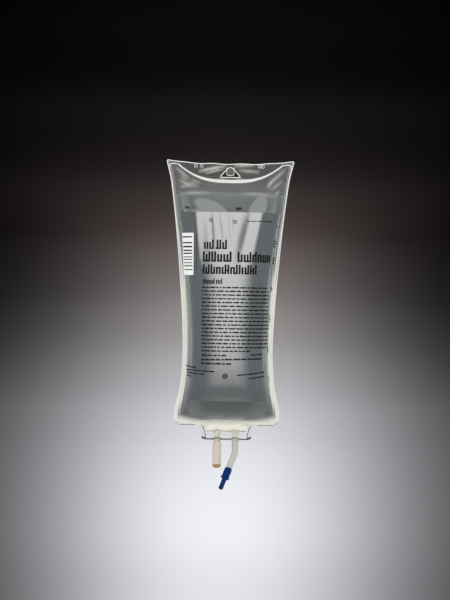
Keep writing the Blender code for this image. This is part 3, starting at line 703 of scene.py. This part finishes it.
def mottle(tree, shader, cloud, low, high):
    """Lets a surface's colour waver between two tones with the same cloud that makes it uneven."""
    tone = add_node(tree, "ShaderNodeMix", {0: cloud, 6: srgb(low), 7: srgb(high)}, data_type="RGBA")
    tree.links.new(tone.outputs[2], shader.inputs["Base Color"])


def calendered_film():
    """Plasticised PVC film, rolled: clear with a faint grey haze, a soft gloss and a slow waviness."""
    material, tree, shader = new_material("calendered PVC film", "#e6eaea", 0.16, IOR=PVC_IOR)
    gloss = clear_film(tree, shader, 0.035, 0.85)
    grain(tree, gloss, 14.3, 0.08, 1.5)
    return material


def welded_film():
    """The same film where it was heat sealed: crushed, milky and nearly white."""
    material, tree, shader = new_material("heat-sealed PVC", "#e9eae6", 0.32, IOR=PVC_IOR, Alpha=0.85)
    grain(tree, shader, 1.1, 0.3)
    return material


def cut_edge():
    """Die-cut edge of the film, which pipes light to the eye as a thin pale line, a little torn."""
    material, tree, shader = new_material("die-cut PVC edge", "#f6f7f4", 0.25, IOR=PVC_IOR, Alpha=0.85)
    grain(tree, shader, 0.9, 0.08)
    return material


def dark_edge():
    """The rim of a weld seen through clear film: it bends the light away and draws a grey line."""
    material, tree, shader = new_material("weld rim in clear PVC", "#4a4c4e", 0.3, IOR=PVC_IOR, Alpha=0.75)
    grain(tree, shader, 0.9, 0.08)
    return material


def saline_liquid():
    """Salt water: clear, colourless and perfectly smooth, seen by how it bends what is behind it."""
    material, _, _ = new_material("saline", "#eef4f3", 0.0, IOR=1.333, Transmission_Weight=1.0)
    return material


def coated_panel():
    """Label panel: a metallic silver-grey coat, rolled on, its satin gloss drawn out down the film."""
    material, tree, shader = new_material("metallic label coat", "#dadbdb", 0.3, Metallic=0.92)
    place = add_node(tree, "ShaderNodeTexCoord").outputs["Object"]
    # Streaks about 4 mm wide and 55 mm long, coarser than the roller's own, so that they show
    drawn = add_node(tree, "ShaderNodeMapping", {"Vector": place, "Scale": (260, 260, 18)}).outputs[0]
    cloud = add_node(tree, "ShaderNodeTexNoise", {"Vector": drawn, "Scale": 1.0, "Detail": 4.0}).outputs[0]
    rough = add_node(tree, "ShaderNodeMapRange", {"Value": cloud, "To Min": 0.15, "To Max": 0.30})
    tree.links.new(rough.outputs["Result"], shader.inputs["Roughness"])
    return material


def screen_ink():
    """Screen-printed ink: brown-black, dull and a little raised, thinner in small spots."""
    material, tree, shader = new_material("screen-print ink, black", "#0f0a09", 0.6, Specular_IOR_Level=0.25)
    mottle(tree, shader, grain(tree, shader, INK_MOTTLE, 0.03), "#0b0706", "#1a1412")
    return material


def white_ink():
    """The same ink in white: opaque, with the weave of the screen left in it as a fine mottle."""
    material, tree, shader = new_material("screen-print ink, white", "#f3f4f2", 0.5)
    mottle(tree, shader, grain(tree, shader, INK_MOTTLE, 0.03), "#ecedeb", "#f7f8f6")
    return material


def extruded_tube():
    """Extruded PVC tube: cloudy, grey-ivory, with a wet gloss and a slight orange peel."""
    material, tree, shader = new_material("extruded PVC tube", "#cac9bf", 0.2, IOR=PVC_IOR, Alpha=0.85)
    grain(tree, shader, 2.0, 0.2)
    return material


def moulded_sleeve():
    """Injection-moulded PVC sleeve: beige and satin, from a finely eroded mould."""
    material, tree, shader = new_material("moulded PVC, beige", "#cfc7b8", 0.36, IOR=PVC_IOR)
    grain(tree, shader, SLEEVE_GRAIN, 0.1)
    return material


def moulded_rubber():
    """Moulded tan rubber: matt, with a fine dry grain."""
    material, tree, shader = new_material("moulded rubber, tan", "#b98f4b", 0.62)
    grain(tree, shader, RUBBER_GRAIN, 0.1)
    return material


def moulded_protector():
    """Injection-moulded polyolefin: a deep even blue under a satin skin."""
    values = {"IOR": 1.45, "Specular_IOR_Level": 0.15}
    material, tree, shader = new_material("moulded polyolefin, blue", "#012c66", 0.4, **values)
    grain(tree, shader, PROTECTOR_GRAIN, 0.08)
    return material


# Pieces of the bag


def films(clear):
    """Both sheets, cut round the bag and round the slot, and the tongue of the slot."""
    outline = film_side() + slot_side()
    for name, side, node_name in (("bag_front", FRONT, "front_film"), ("bag_back", BACK, "back_film")):
        piece = sheet_piece(name, outline, side, -FILM_FACE, FILM_FACE, clear)
        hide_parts(node_name)
        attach(piece, "bag")
    bm = bmesh.new()
    tongue(bm)
    white = bm.verts.layers.float.new("white")
    for vert in bm.verts:
        vert[white] = TONGUE_WHITE
    piece = add_piece("hanger_tongue", bm, clear)
    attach(piece, "bag")


def tongue_place(share, reach):
    """A point of the tongue: share of its length from the root, reach of its half width."""
    along = share * TONGUE_LENGTH
    bend = TONGUE_ANGLE * min(share / TONGUE_BEND_END, 1)
    width = TONGUE_ROOT_WIDTH + (TONGUE_TIP_WIDTH - TONGUE_ROOT_WIDTH) * share**TONGUE_FLARE
    past_round = max((share - TONGUE_ROUND_FROM) / (1 - TONGUE_ROUND_FROM), 0)
    rounding = math.sqrt(max(1 - past_round**2, 0.02))
    y = SHEET_OFFSET + along * math.sin(bend) * min(1, share / 0.2)
    return Vector((width / 2 * rounding * reach, y, TONGUE_ROOT - along * math.cos(bend)))


def tongue(bm):
    """The slug of the slot, still held at its upper edge and bent back, with a rounded tip."""
    rows, columns = 18, 8
    loops = []
    for i in range(rows + 1):
        loops.append([tongue_place(i / rows, 2 * k / columns - 1) for k in range(columns + 1)])
    out = Vector((0, math.cos(TONGUE_ANGLE), math.sin(TONGUE_ANGLE))) * FILM_FACE
    front = [[bm.verts.new(p - out) for p in loop] for loop in loops]
    back = [[bm.verts.new(p + out) for p in loop] for loop in loops]
    for i in range(rows):
        for k in range(columns):
            bm.faces.new([front[i][k], front[i + 1][k], front[i + 1][k + 1], front[i][k + 1]])
            bm.faces.new([back[i][k], back[i][k + 1], back[i + 1][k + 1], back[i + 1][k]])
        for k in (0, columns):
            bm.faces.new([front[i][k], back[i][k], back[i + 1][k], front[i + 1][k]])
    for i in (0, rows):
        for k in range(columns):
            bm.faces.new([front[i][k], front[i][k + 1], back[i][k + 1], back[i][k]])


def tongue_edge(edge):
    """The pale cut edge round the tongue, a thin round bead."""
    radius, sides, steps = 0.00032, 8, 16
    down = [tongue_place(i / steps, -1) for i in range(steps + 1)]
    points = down + [tongue_place(i / steps, 1) for i in reversed(range(steps + 1))]
    bm = bmesh.new()
    rings = []
    for i, point in enumerate(points):
        way = (points[min(i + 1, len(points) - 1)] - points[max(i - 1, 0)]).normalized()
        across = way.cross(Vector((0.3, 1, 0.2))).normalized()
        up = across.cross(way)
        rings.append([])
        for k in range(sides):
            turn = 2 * math.pi * k / sides
            rings[-1].append(bm.verts.new(point + (across * math.cos(turn) + up * math.sin(turn)) * radius))
    for first, second in zip(rings, rings[1:]):
        for k in range(sides):
            bm.faces.new([first[k], first[k - 1], second[k - 1], second[k]])
    bm.faces.new(rings[0])
    bm.faces.new(rings[-1])
    piece = add_piece("tongue_edge", bm, edge)
    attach(piece, "bag")


def beads(name, material, lines):
    """One piece with a bead for each line, on the front and the back film."""
    bm = bmesh.new()
    for path, width, height, closed in lines:
        for side in (FRONT, BACK):
            strip(bm, path, width, side, FILM_FACE - BEAD_SINK, height, closed)
    piece = add_piece(name, bm, material)
    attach(piece, "bag")


def chamber_weld(milky):
    """The raised, milky weld round the liquid: widest in the middle of the smile, thin at the shoulders."""
    half = weld_path()
    smile = resample(both_sides(half[:SMILE_POINTS]))
    widths = SMILE_BEAD + (SMILE_BEAD_ENDS - SMILE_BEAD) * smoothstep(0.010, 0.050, np.abs(smile[:, :1]))
    lines = [(smile, widths, 0.00022, False)]
    for way in (-1, 1):
        side = resample([(way * s, h) for s, h in half[SMILE_POINTS - 1 :]])
        widths = SIDE_BEAD + (SIDE_BEAD_LOW - SIDE_BEAD) * smoothstep(-0.03, -0.12, side[:, 1:])
        lines.append((side, widths, 0.00018, False))
    beads("chamber_weld", milky, lines)


PUNCH_MARKS = ((-0.0360, 0.0004), (-0.0298, 0.0009), (0.0300, 0.0009), (0.0335, 0.0004))
PUNCH_RADIUS = 0.0015


def cut_edges(edge):
    """The pale die-cut edges: round the bag, round the slot and round four punch marks beside it."""
    inset = 0.0004
    outline = [(s * (1 - inset / HALF_WIDTH), h - math.copysign(inset, h + 0.1)) for s, h in bag_side()]
    slot = [(s * 1.05, h - 0.0002) for s, h in slot_side()]
    lines = [
        (resample(both_sides(outline)), 0.0008, 0.00012, False),
        (resample(both_sides(slot), 0.0005), 0.0008, 0.00016, False),
    ]
    for mark in PUNCH_MARKS:
        lines.append((arc_points(mark, PUNCH_RADIUS, 0, 360, 20)[:-1], 0.0005, 0.00016, True))
    beads("cut_edges", edge, lines)


# Half the reach of the lines across the neck's foot and the skirt's end, and how far below or above it
NECK_LINE_REACH, NECK_LINE_DROP = 0.0205, 0.0066
END_LINE_REACH, END_LINE_RISE = 0.0262, 0.0006
TAB_START, TAB_RISE = 0.0215, 0.0018
BOW_SAG, BOW_DROP = 0.0045, 0.0145
CORNER_LINE_INSET, CORNER_LINE_END = 0.0003, 0.034


def skirt_rims(rim):
    """Grey lines where clear film ends: neck's foot, skirt's end, sides and tabs, and the lower corners."""
    neck_line = [(s, BAG_EDGE - NECK_LINE_DROP) for s in np.linspace(-NECK_LINE_REACH, NECK_LINE_REACH, 40)]
    end_line = [(s, SKIRT_END + END_LINE_RISE) for s in np.linspace(-END_LINE_REACH, END_LINE_REACH, 44)]
    lines = [(neck_line, 0.0005, 0.00012, False), (end_line, 0.0010, 0.00016, False)]
    corner = (HALF_WIDTH - BOTTOM_CORNER_RADIUS, BAG_EDGE + BOTTOM_CORNER_RADIUS)
    for way in (-1, 1):
        bow = []
        for turn in np.linspace(0.1, 1.5, 20):
            across = END_LINE_REACH - BOW_SAG * math.sin(turn)
            bow.append((way * across, BAG_EDGE - BOW_DROP * turn * 2 / math.pi))
        lines.append((bow, 0.0007, 0.00016, False))
        under = arc_points(corner, BOTTOM_CORNER_RADIUS - CORNER_LINE_INSET, -35, -90, 12)
        for s in np.linspace(under[-1][0], CORNER_LINE_END, 20)[1:]:
            under.append((s, BAG_EDGE + CORNER_LINE_INSET))
        lines.append((resample([(way * s, h) for s, h in under]), 0.0007, 0.00014, False))
        tab = [(way * s, SKIRT_END + TAB_RISE) for s in np.linspace(TAB_START, END_LINE_REACH, 6)]
        lines.append((tab, 0.0008, 0.00016, False))
    beads("skirt_rims", rim, lines)


def liquid_row(s, h):
    """Front and back points of the liquid at one height."""
    level = np.full_like(s, h)
    front = formed(s, level, FRONT, -FILM_FACE - LIQUID_GAP)
    back = formed(s, level, BACK, -FILM_FACE - LIQUID_GAP)
    return front, back


def liquid(material):
    """The fill, level on top, against the film down to the neck."""
    floor_top = CHAMBER_FLOOR + FLOOR_ROUND
    floor_turns = np.radians(np.linspace(3, 88, 30))
    heights = np.append(
        np.linspace(LIQUID_LEVEL, floor_top, 140), CHAMBER_FLOOR + FLOOR_ROUND * (1 - np.sin(floor_turns))
    )
    shares = np.sin(np.radians(np.linspace(-90, 90, 97)))
    rows = []
    for h in heights:
        front, back = liquid_row((CHAMBER_HALF - LIQUID_SIDE_GAP) * shares, h)
        middle = (front + back) / 2
        crossed = front[:, 1] > back[:, 1] - LIQUID_LEAST
        front[crossed] = middle[crossed] - (0, LIQUID_LEAST / 2, 0)
        back[crossed] = middle[crossed] + (0, LIQUID_LEAST / 2, 0)
        rows.append((front, back))
    for h in np.linspace(CHAMBER_FLOOR + 0.0002, CHAMBER_FLOOR - NECK_LENGTH + 0.0006, 14):
        rows.append(liquid_row((NECK_WIDTH / 2 - 0.0004) * shares, h))
    bm = bmesh.new()
    rings = []
    for front, back in rows:
        rings.append([bm.verts.new(p) for p in front] + [bm.verts.new(p) for p in back[::-1]])
    for upper, lower in zip(rings, rings[1:]):
        for k in range(len(upper)):
            bm.faces.new([upper[k], upper[k - 1], lower[k - 1], lower[k]])
    for ring in (rings[0], rings[-1]):
        last = len(ring) - 1
        for k in range(len(shares) - 1):
            bm.faces.new([ring[k], ring[k + 1], ring[last - k - 1], ring[last - k]])
    piece = add_piece("saline_fill", bm, material)
    # Clear water lets the lamps' light through to the panel and the back film
    piece.visible_shadow = False
    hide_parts("saline")
    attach(piece, "bag")


def label(material):
    """The silver panel, a thin coat on the front film."""
    top = COAT_LIFT + COAT_THICKNESS
    piece = sheet_piece("label_coat", panel_side(), FRONT, COAT_LIFT, top, material)
    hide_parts("label_panel")
    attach(piece, "bag")


# Print, in millimetres on the flat film. A headline has its left, right, base and height, and how far
# along each of its groups of strokes ends. A fine row has its left, right, base, height and slope.
HEADLINES = (
    (-26.8, 1.8, -84.9, 9.6, (0.42, 1.0)),
    (-28.0, 51.0, -97.8, 10.4, (0.44, 1.0)),
    (-27.9, 34.5, -110.2, 9.6, (0.68, 1.0)),
    (-27.7, -4.8, -120.4, 5.6, (0.6, 1.0)),
)
TOP_MARKS = ((-51.0, -41.5, -43.6, 3.0, (0.8,)), (6.3, 15.6, -44.6, 3.6, (0.8,)))
TOP_ROW = (18.0, 48.0, -56.4, 1.2, 0.0)
BODY_TOP, BODY_LEFT, BODY_ROWS, BODY_PITCH, BODY_HEIGHT = -124.6, -28.8, 18, 3.78, 1.75
BODY_RIGHTS = (48.0, 49.5, 50.5, 51.0)
BODY_LAST_RIGHT = 26.0
FOOT_ROWS = (
    (-28.0, -1.6, -193.4, 1.9, 0.0),
    (25.2, 41.5, -192.6, 1.7, 0.04),
    (-29.1, 41.1, -198.2, 2.0, 0.025),
    (-29.0, 3.6, -201.9, 2.1, 0.0),
    (-60.0, -34.4, -204.6, 1.6, -0.07),
    (-54.1, -11.6, -208.6, 1.6, -0.03),
    (-53.6, -25.0, -211.4, 1.5, -0.05),
    (-53.0, -41.9, -214.4, 1.5, -0.08),
    (9.9, 45.0, -213.2, 1.7, 0.09),
    (23.1, 45.0, -216.4, 1.6, 0.1),
)
SCALE_LEVELS = (-63.5, -81.0, -98.5, -127.4, -158.3, -189.2, -220.0)
SCALE_LEFT, SCALE_HEIGHT = 53.4, 5.6
TICK_LEFT, TICK_RIGHT, TICK_LOW, TICK_HIGH = 58.6, 61.4, 2.3, 3.2
TOP_RINGS = ((-19.4, -55.2), (5.4, -56.9))
FOOT_RING = (-2.3, -213.5)
FIELD_TOP, FIELD_HEIGHT = -68.4, 43.1
FIELD_CORNERS = ((-60.2, -111.5), (-40.6, -111.5), (-39.6, FIELD_TOP), (-57.8, FIELD_TOP))
FIELD_BARS = (0.08, 0.22, 0.31, 0.40, 0.47, 0.56, 0.62, 0.70, 0.77, 0.86)
FIELD_BAR_LEFT, FIELD_BAR_RIGHT = -57.5, -42.0
DASH_LEFT, DASH_TOP, DASHES = -36.6, -72.5, 34

# Which of the seven strokes each numeral has: top, middle, bottom, upper left and right, lower left and right
NUMERALS = {1: "0000101", 2: "1110110", 3: "1110101", 4: "0101101", 5: "1111001", 6: "1111011", 7: "1000101"}


def patch(bm, corners, lift=INK_LIFT):
    """A thin four-sided field on the film, corners in millimetres from lower left anticlockwise."""
    (a, b, c, d) = [np.array(p, float) / 1000 for p in corners]
    columns = max(int(np.hypot(*(b - a)) / INK_CELL), 1)
    rows = max(int(np.hypot(*(d - a)) / INK_CELL), 1)
    grids = []
    for height in (lift, lift + INK_THICKNESS):
        grid = []
        for j in range(rows + 1):
            left, right = a + (d - a) * j / rows, b + (c - b) * j / rows
            points = left + (right - left) * np.linspace(0, 1, columns + 1)[:, None]
            grid.append([bm.verts.new(p) for p in formed(points[:, 0], points[:, 1], FRONT, height)])
        grids.append(grid)
    low, high = grids
    for j in range(rows):
        for k in range(columns):
            for grid in grids:
                bm.faces.new([grid[j][k], grid[j][k + 1], grid[j + 1][k + 1], grid[j + 1][k]])
        for k in (0, columns):
            bm.faces.new([low[j][k], low[j + 1][k], high[j + 1][k], high[j][k]])
    for j in (0, rows):
        for k in range(columns):
            bm.faces.new([low[j][k], low[j][k + 1], high[j][k + 1], high[j][k]])


def bar(bm, left, right, low, high, slope=0.0):
    """An upright field between two places across and two heights, its base rising by slope."""
    rise = slope * (right - left)
    patch(bm, [(left, low), (right, low + rise), (right, high + rise), (left, high)])


def headline(bm, rng, left, right, base, height, words):
    """A row of bold upright strokes in pairs and groups, with the weight of condensed type."""
    stroke, inside, gap = height * 0.20, height * 0.11, height * 0.10
    at = left
    for share in words:
        end = left + (right - left) * share
        while at + stroke < end - height * 0.25:
            for tall in rng.choice(((1.0, 0.74), (0.74, 0.74), (0.74, 0.74), (0.74, 1.0), (1.0,))):
                bar(bm, at, at + stroke, base, base + height * tall)
                at += stroke + inside
            if rng.random() < 0.85:
                level = base + rng.choice((0.0, 0.0, 0.30, 0.60)) * height
                bar(bm, at - 2 * inside - stroke, at - stroke - inside, level, level + stroke * 0.8)
            at += gap - inside
        at = end + height * 0.18


def numeral(bm, number, left, base, height):
    """A plain numeral of straight strokes."""
    stroke, width = height * 0.19, height * 0.72
    right, middle, top = left + width, base + height / 2, base + height
    strokes = [(left, right, level - stroke / 2, level + stroke / 2) for level in (top, middle, base)]
    for low, high in ((middle, top), (base, middle)):
        strokes += [(side, side + stroke, low, high) for side in (left, right - stroke)]
    for shown, place in zip(NUMERALS[number], strokes):
        if shown == "1":
            bar(bm, *place)


def fine_row(bm, rng, left, right, base, height, slope=0.0):
    """A row of small print: short bars of uneven length, with a few taller strokes."""
    at = left
    while at < right - height:
        length = min(rng.uniform(1.8, 7.5), right - at)
        low = base + slope * (at - left)
        bar(bm, at, at + length, low, low + height * 0.72, slope)
        for _ in range(int(length / 1.9)):
            mark = at + rng.uniform(0, max(length - 0.6, 0.1))
            bar(bm, mark, mark + 0.6, low + height * 0.72, low + height, slope)
        at += length + rng.uniform(0.8, 1.4)


def ring(bm, centre, radius, width):
    """A printed ring of short fields."""
    fields = 16
    outer = arc_points(centre, radius, 0, 360, fields)
    inner = arc_points(centre, radius - width, 0, 360, fields)
    for k in range(fields):
        patch(bm, [outer[k], outer[k + 1], inner[k + 1], inner[k]])


def volume_scale(bm):
    """Numerals with ticks up the right side, for how much has run out."""
    for number, level in enumerate(SCALE_LEVELS, 1):
        numeral(bm, number, SCALE_LEFT, level, SCALE_HEIGHT)
        bar(bm, TICK_LEFT, TICK_RIGHT, level + TICK_LOW, level + TICK_HIGH)


def ring_marks(bm):
    """Two small rings above and a bold one below, each with a bar in its middle."""
    for s, h in TOP_RINGS:
        ring(bm, (s, h), 2.1, 0.6)
        bar(bm, s - 0.7, s + 0.7, h - 0.4, h + 0.4)
    ring(bm, FOOT_RING, 2.6, 1.2)
    bar(bm, FOOT_RING[0] - 0.9, FOOT_RING[0] + 0.9, FOOT_RING[1] - 0.6, FOOT_RING[1] + 0.6)


def field_bars(bm, rng):
    """Bars across the white field at the left, and a column of short dashes beside it."""
    for share in FIELD_BARS:
        thick = rng.uniform(0.7, 1.7)
        low = FIELD_TOP - share * FIELD_HEIGHT - thick
        bar(bm, FIELD_BAR_LEFT, FIELD_BAR_RIGHT, low, low + thick)
    for i in range(DASHES):
        low = DASH_TOP - i
        bar(bm, DASH_LEFT, DASH_LEFT + rng.choice((0.5, 0.9, 1.1)), low, low + 0.55)


def print_rows(material):
    """All the black print, as one piece."""
    rng = random.Random(7)
    bm = bmesh.new()
    for row in HEADLINES:
        headline(bm, rng, *row)
    for i in range(BODY_ROWS):
        right = BODY_RIGHTS[i % 4] + i * 0.3 if i < BODY_ROWS - 1 else BODY_LAST_RIGHT
        fine_row(bm, rng, BODY_LEFT, right, BODY_TOP - i * BODY_PITCH, BODY_HEIGHT)
    for row in FOOT_ROWS:
        fine_row(bm, rng, *row)
    for row in TOP_MARKS:
        headline(bm, rng, *row)
    volume_scale(bm)
    fine_row(bm, rng, *TOP_ROW)
    ring_marks(bm)
    field_bars(bm, rng)
    piece = add_piece("label_print", bm, material)
    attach(piece, "bag")


def white_field(material):
    """The white field under the bars at the left."""
    bm = bmesh.new()
    patch(bm, FIELD_CORNERS, FIELD_LIFT)
    piece = add_piece("label_white_field", bm, material)
    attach(piece, "bag")


def finish_ports():
    """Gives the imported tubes, sleeve, stopper and protector, whose shapes are right, their materials."""
    tube = extruded_tube()
    looks = {
        "medication_port_tube": tube,
        "medication_port_sleeve": moulded_sleeve(),
        "medication_stopper": moulded_rubber(),
        "outlet_port_tube": tube,
        "outlet_membrane_tube": tube,
        "outlet_protector": moulded_protector(),
    }
    for name, material in looks.items():
        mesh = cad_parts[name].data
        mesh.materials.clear()
        mesh.materials.append(material)


# Stage, light and camera

HERO_DISTANCE = 2.2
PHOTO_SCALE = 0.001028
PHOTO_HEIGHT = 600
VIEW_CENTRE = (-0.0035, -0.1365)
CAMERA_ROLL = math.radians(-0.9)
FLOOR_LEVEL = -0.62
FLOOR_RADIUS = 1.2


def camera():
    """A long lens square to the front, as far off and as rolled as the photo's."""
    data = bpy.data.cameras.new("camera")
    data.sensor_width = 36
    data.lens = data.sensor_width * HERO_DISTANCE / (PHOTO_SCALE * PHOTO_HEIGHT)
    eye = bpy.data.objects.new("camera", data)
    bpy.context.scene.collection.objects.link(eye)
    eye.location = (VIEW_CENTRE[0], -HERO_DISTANCE, VIEW_CENTRE[1])
    eye.rotation_euler = (math.pi / 2, CAMERA_ROLL, 0)
    bpy.context.scene.camera = eye


def lamp(name, place, aim, size, power):
    """A soft box of plain white light."""
    data = bpy.data.lights.new(name, "AREA")
    data.shape = "RECTANGLE"
    data.size, data.size_y = size
    data.energy = power
    light = bpy.data.objects.new(name, data)
    bpy.context.scene.collection.objects.link(light)
    light.location = place
    light.rotation_euler = (Vector(aim) - Vector(place)).to_track_quat("-Z", "Y").to_euler()
    # Its mirror image would stand as glints on the panel and in the liquid
    light.visible_camera = light.visible_glossy = light.visible_transmission = False


def lamps():
    """Soft boxes above the camera and behind the bag."""
    middle = (0, 0, -0.14)
    lamp("key softbox", (0.15, -1.3, 1.35), middle, (1.7, 1.0), 5.5)
    lamp("top softbox", (0, 0.5, 1.4), middle, (0.9, 0.9), 5)


# What the eye sees of the backdrop, from below its own level to above it, over plus and minus SHOWN_RISE
SHOWN_RISE = 0.15
SHOWN = (
    (0.0, "#e8e9ec"),
    (0.05, "#e3e4e9"),
    (0.15, "#f0f1f6"),
    (0.266, "#e1e2e7"),
    (0.344, "#c8c7cc"),
    (0.422, "#a9a6a8"),
    (0.5, "#8a8484"),
    (0.593, "#5f5655"),
    (0.687, "#302b2a"),
    (0.812, "#151313"),
    (0.936, "#0c0a0b"),
)
# Straight behind the bag the backdrop glows: how far the glow reaches to each side for each metre away, the
# rises between which that draws in to a waist and opens again, the share of light that is left past it, how
# far ahead a direction has to lead for any of this, and how far to the side the plain grade comes back
GLOW_DRAWS_IN = {"From Min": -0.05, "From Max": 0.0, "To Min": 0.077, "To Max": 0.060}
GLOW_OPENS = {"From Min": 0.03, "From Max": 0.10, "To Max": 0.055}
GLOW_POWER = 2.1
GLOW_LEAST = 0.02
GLOW_AHEAD = {"From Min": 0.2, "From Max": 0.5}
PLAIN_ASIDE = {"From Min": 0.16, "From Max": 0.42}
# What the bag mirrors and bends into view, from straight below to straight above
STUDIO_IN_FRONT = (
    (0.0, "#7e807f"),
    (0.35, "#434a4d"),
    (0.5, "#4b555a"),
    (0.58, "#434a4d"),
    (1.0, "#2c2b2b"),
)
STUDIO_BEHIND = (
    (0.0, "#a8a69c"),
    (0.2, "#6b6c6a"),
    (0.3, "#3f4446"),
    (0.44, "#3f4446"),
    (0.475, "#55585a"),
    (0.5, "#606163"),
    (0.525, "#454444"),
    (0.56, "#2e3130"),
    (0.78, "#2e3130"),
    (0.92, "#6a6b69"),
    (1.0, "#8a8984"),
)
# A lit screen above and in front, which the upper front of the bag mirrors, and where its edge fades
FRONT_SCREEN = ((0.44, "#b8b7b8"), (0.5, "#d6d5d6"), (0.62, "#dddcdd"), (0.9, "#e2e1e2"))
SCREEN_FACING_FROM, SCREEN_FACING_TO = -0.48, -1.0
SCREEN_RISE_FROM, SCREEN_RISE_TO = -0.23, -0.07


def tones(tree, rise, reach, stops):
    """A grade of colours over the rise of a direction, from minus to plus reach."""
    share = add_node(tree, "ShaderNodeMapRange", {"Value": rise, "From Min": -reach, "From Max": reach})
    return add_node(tree, "ShaderNodeValToRGB", {"Fac": share.outputs[0]}, stops=stops).outputs[0]


def laid_over(tree, under, over, limits):
    """One colour over another, where each value in limits has gone from its first limit to its second."""
    share = 1.0
    for value, first, second in limits:
        links = {"Value": value, "From Min": first, "From Max": second}
        part = add_node(tree, "ShaderNodeMapRange", links, interpolation_type="SMOOTHSTEP").outputs[0]
        share = add_node(tree, "ShaderNodeMath", {0: part, 1: share}, operation="MULTIPLY").outputs[0]
    return add_node(tree, "ShaderNodeMix", {0: share, 6: under, 7: over}, data_type="RGBA").outputs[2]


def glowing(tree, tone, right, ahead, rise):
    """Darkens a tone to both sides of the glow, in directions that lead behind the bag."""
    aside = add_node(tree, "ShaderNodeMath", {0: right, 1: ahead}, operation="DIVIDE").outputs[0]
    off = add_node(tree, "ShaderNodeMath", {0: aside}, operation="ABSOLUTE").outputs[0]
    waist = add_node(tree, "ShaderNodeMapRange", {"Value": rise, **GLOW_DRAWS_IN}).outputs[0]
    opening = add_node(tree, "ShaderNodeMapRange", {"Value": rise, **GLOW_OPENS}).outputs[0]
    reach = add_node(tree, "ShaderNodeMath", {0: waist, 1: opening}, operation="ADD").outputs[0]
    fall = add_node(tree, "ShaderNodeMath", {0: off, 1: reach}, operation="DIVIDE").outputs[0]
    fall = add_node(tree, "ShaderNodeMath", {0: fall, 1: GLOW_POWER}, operation="POWER").outputs[0]
    light = add_node(tree, "ShaderNodeMath", {0: math.exp(-1), 1: fall}, operation="POWER").outputs[0]
    links = {"Value": off, **PLAIN_ASIDE}
    plain = add_node(tree, "ShaderNodeMapRange", links, interpolation_type="SMOOTHSTEP").outputs[0]
    light = add_node(tree, "ShaderNodeMath", {0: light, 1: plain}, operation="MAXIMUM").outputs[0]
    light = add_node(tree, "ShaderNodeMapRange", {"Value": light, "To Min": GLOW_LEAST}).outputs[0]
    behind = add_node(tree, "ShaderNodeMapRange", {"Value": ahead, **GLOW_AHEAD}).outputs[0]
    light = add_node(tree, "ShaderNodeMix", {0: behind, 2: 1.0, 3: light}).outputs[0]
    return add_node(tree, "ShaderNodeVectorMath", {0: tone, "Scale": light}, operation="SCALE").outputs[0]


def backdrop():
    """A seamless grade all round: dark above the eye's level and pale below it. Lamps' light stays plain.

    The eye, the gloss and the liquid each see their own studio, and all other light is plain white.
    """
    world = bpy.data.worlds.new("studio")
    bpy.context.scene.world = world
    world.use_nodes = True
    tree = world.node_tree
    tree.nodes.clear()
    way = add_node(tree, "ShaderNodeTexCoord").outputs["Generated"]
    right, ahead, rise = add_node(tree, "ShaderNodeSeparateXYZ", {0: way}).outputs
    flat_way = add_node(tree, "ShaderNodeVectorMath", {0: way, 1: (1, 1, 0)}, operation="MULTIPLY").outputs[0]
    flat_way = add_node(tree, "ShaderNodeVectorMath", {0: flat_way}, operation="NORMALIZE").outputs[0]
    facing = add_node(tree, "ShaderNodeSeparateXYZ", {0: flat_way}).outputs[1]

    grade = tones(tree, rise, SHOWN_RISE, SHOWN)
    in_front = tones(tree, rise, 1.0, STUDIO_IN_FRONT)
    behind = tones(tree, rise, 1.0, STUDIO_BEHIND)
    screen = tones(tree, rise, 1.0, FRONT_SCREEN)
    shown = glowing(tree, grade, right, ahead, rise)
    facing_limits = (facing, SCREEN_FACING_FROM, SCREEN_FACING_TO)
    rise_limits = (rise, SCREEN_RISE_FROM, SCREEN_RISE_TO)
    mirrored = laid_over(tree, in_front, screen, [facing_limits, rise_limits])
    mirrored = laid_over(tree, mirrored, grade, [(ahead, 0.25, 0.7)])
    bent = laid_over(tree, in_front, behind, [(ahead, -0.3, 0.3)])

    path = add_node(tree, "ShaderNodeLightPath")
    colour = srgb("#ffffff")
    for ray, seen in (("Is Glossy Ray", mirrored), ("Is Transmission Ray", bent), ("Is Camera Ray", shown)):
        links = {0: path.outputs[ray], 6: colour, 7: seen}
        colour = add_node(tree, "ShaderNodeMix", links, data_type="RGBA").outputs[2]
    light = add_node(tree, "ShaderNodeBackground", {"Color": colour})
    add_node(tree, "ShaderNodeOutputWorld", {"Surface": light.outputs[0]})


def floor():
    """A pale studio floor under the bag, which melts into the backdrop before its edge."""
    bm = bmesh.new()
    bmesh.ops.create_circle(bm, cap_ends=True, segments=96, radius=FLOOR_RADIUS)
    piece = add_piece("floor", bm, floor_paint())
    piece.location.z = FLOOR_LEVEL
    piece.visible_glossy = False
    piece.visible_transmission = False


def floor_paint():
    """Matt paint, pale as the low backdrop, and gone before the floor ends, so that no line shows."""
    material, tree, shader = new_material("painted floor, matt", "#e3e4e9", 0.95, Specular_IOR_Level=0.0)
    place = add_node(tree, "ShaderNodeTexCoord").outputs["Object"]
    far = add_node(tree, "ShaderNodeVectorMath", {0: place}, operation="LENGTH").outputs["Value"]
    links = {"Value": far, "From Min": FLOOR_RADIUS, "From Max": FLOOR_RADIUS / 3}
    cover = add_node(tree, "ShaderNodeMapRange", links, interpolation_type="SMOOTHSTEP")
    tree.links.new(cover.outputs[0], shader.inputs["Alpha"])
    return material


bpy.context.scene.view_settings.view_transform = "Standard"
bpy.context.scene.cycles.transparent_max_bounces = 24

clear = calendered_film()
films(clear)
chamber_weld(welded_film())
pale_edge = cut_edge()
cut_edges(pale_edge)
tongue_edge(pale_edge)
skirt_rims(dark_edge())
liquid(saline_liquid())
label(coated_panel())
print_rows(screen_ink())
white_field(white_ink())
finish_ports()
camera()
lamps()
backdrop()
floor()
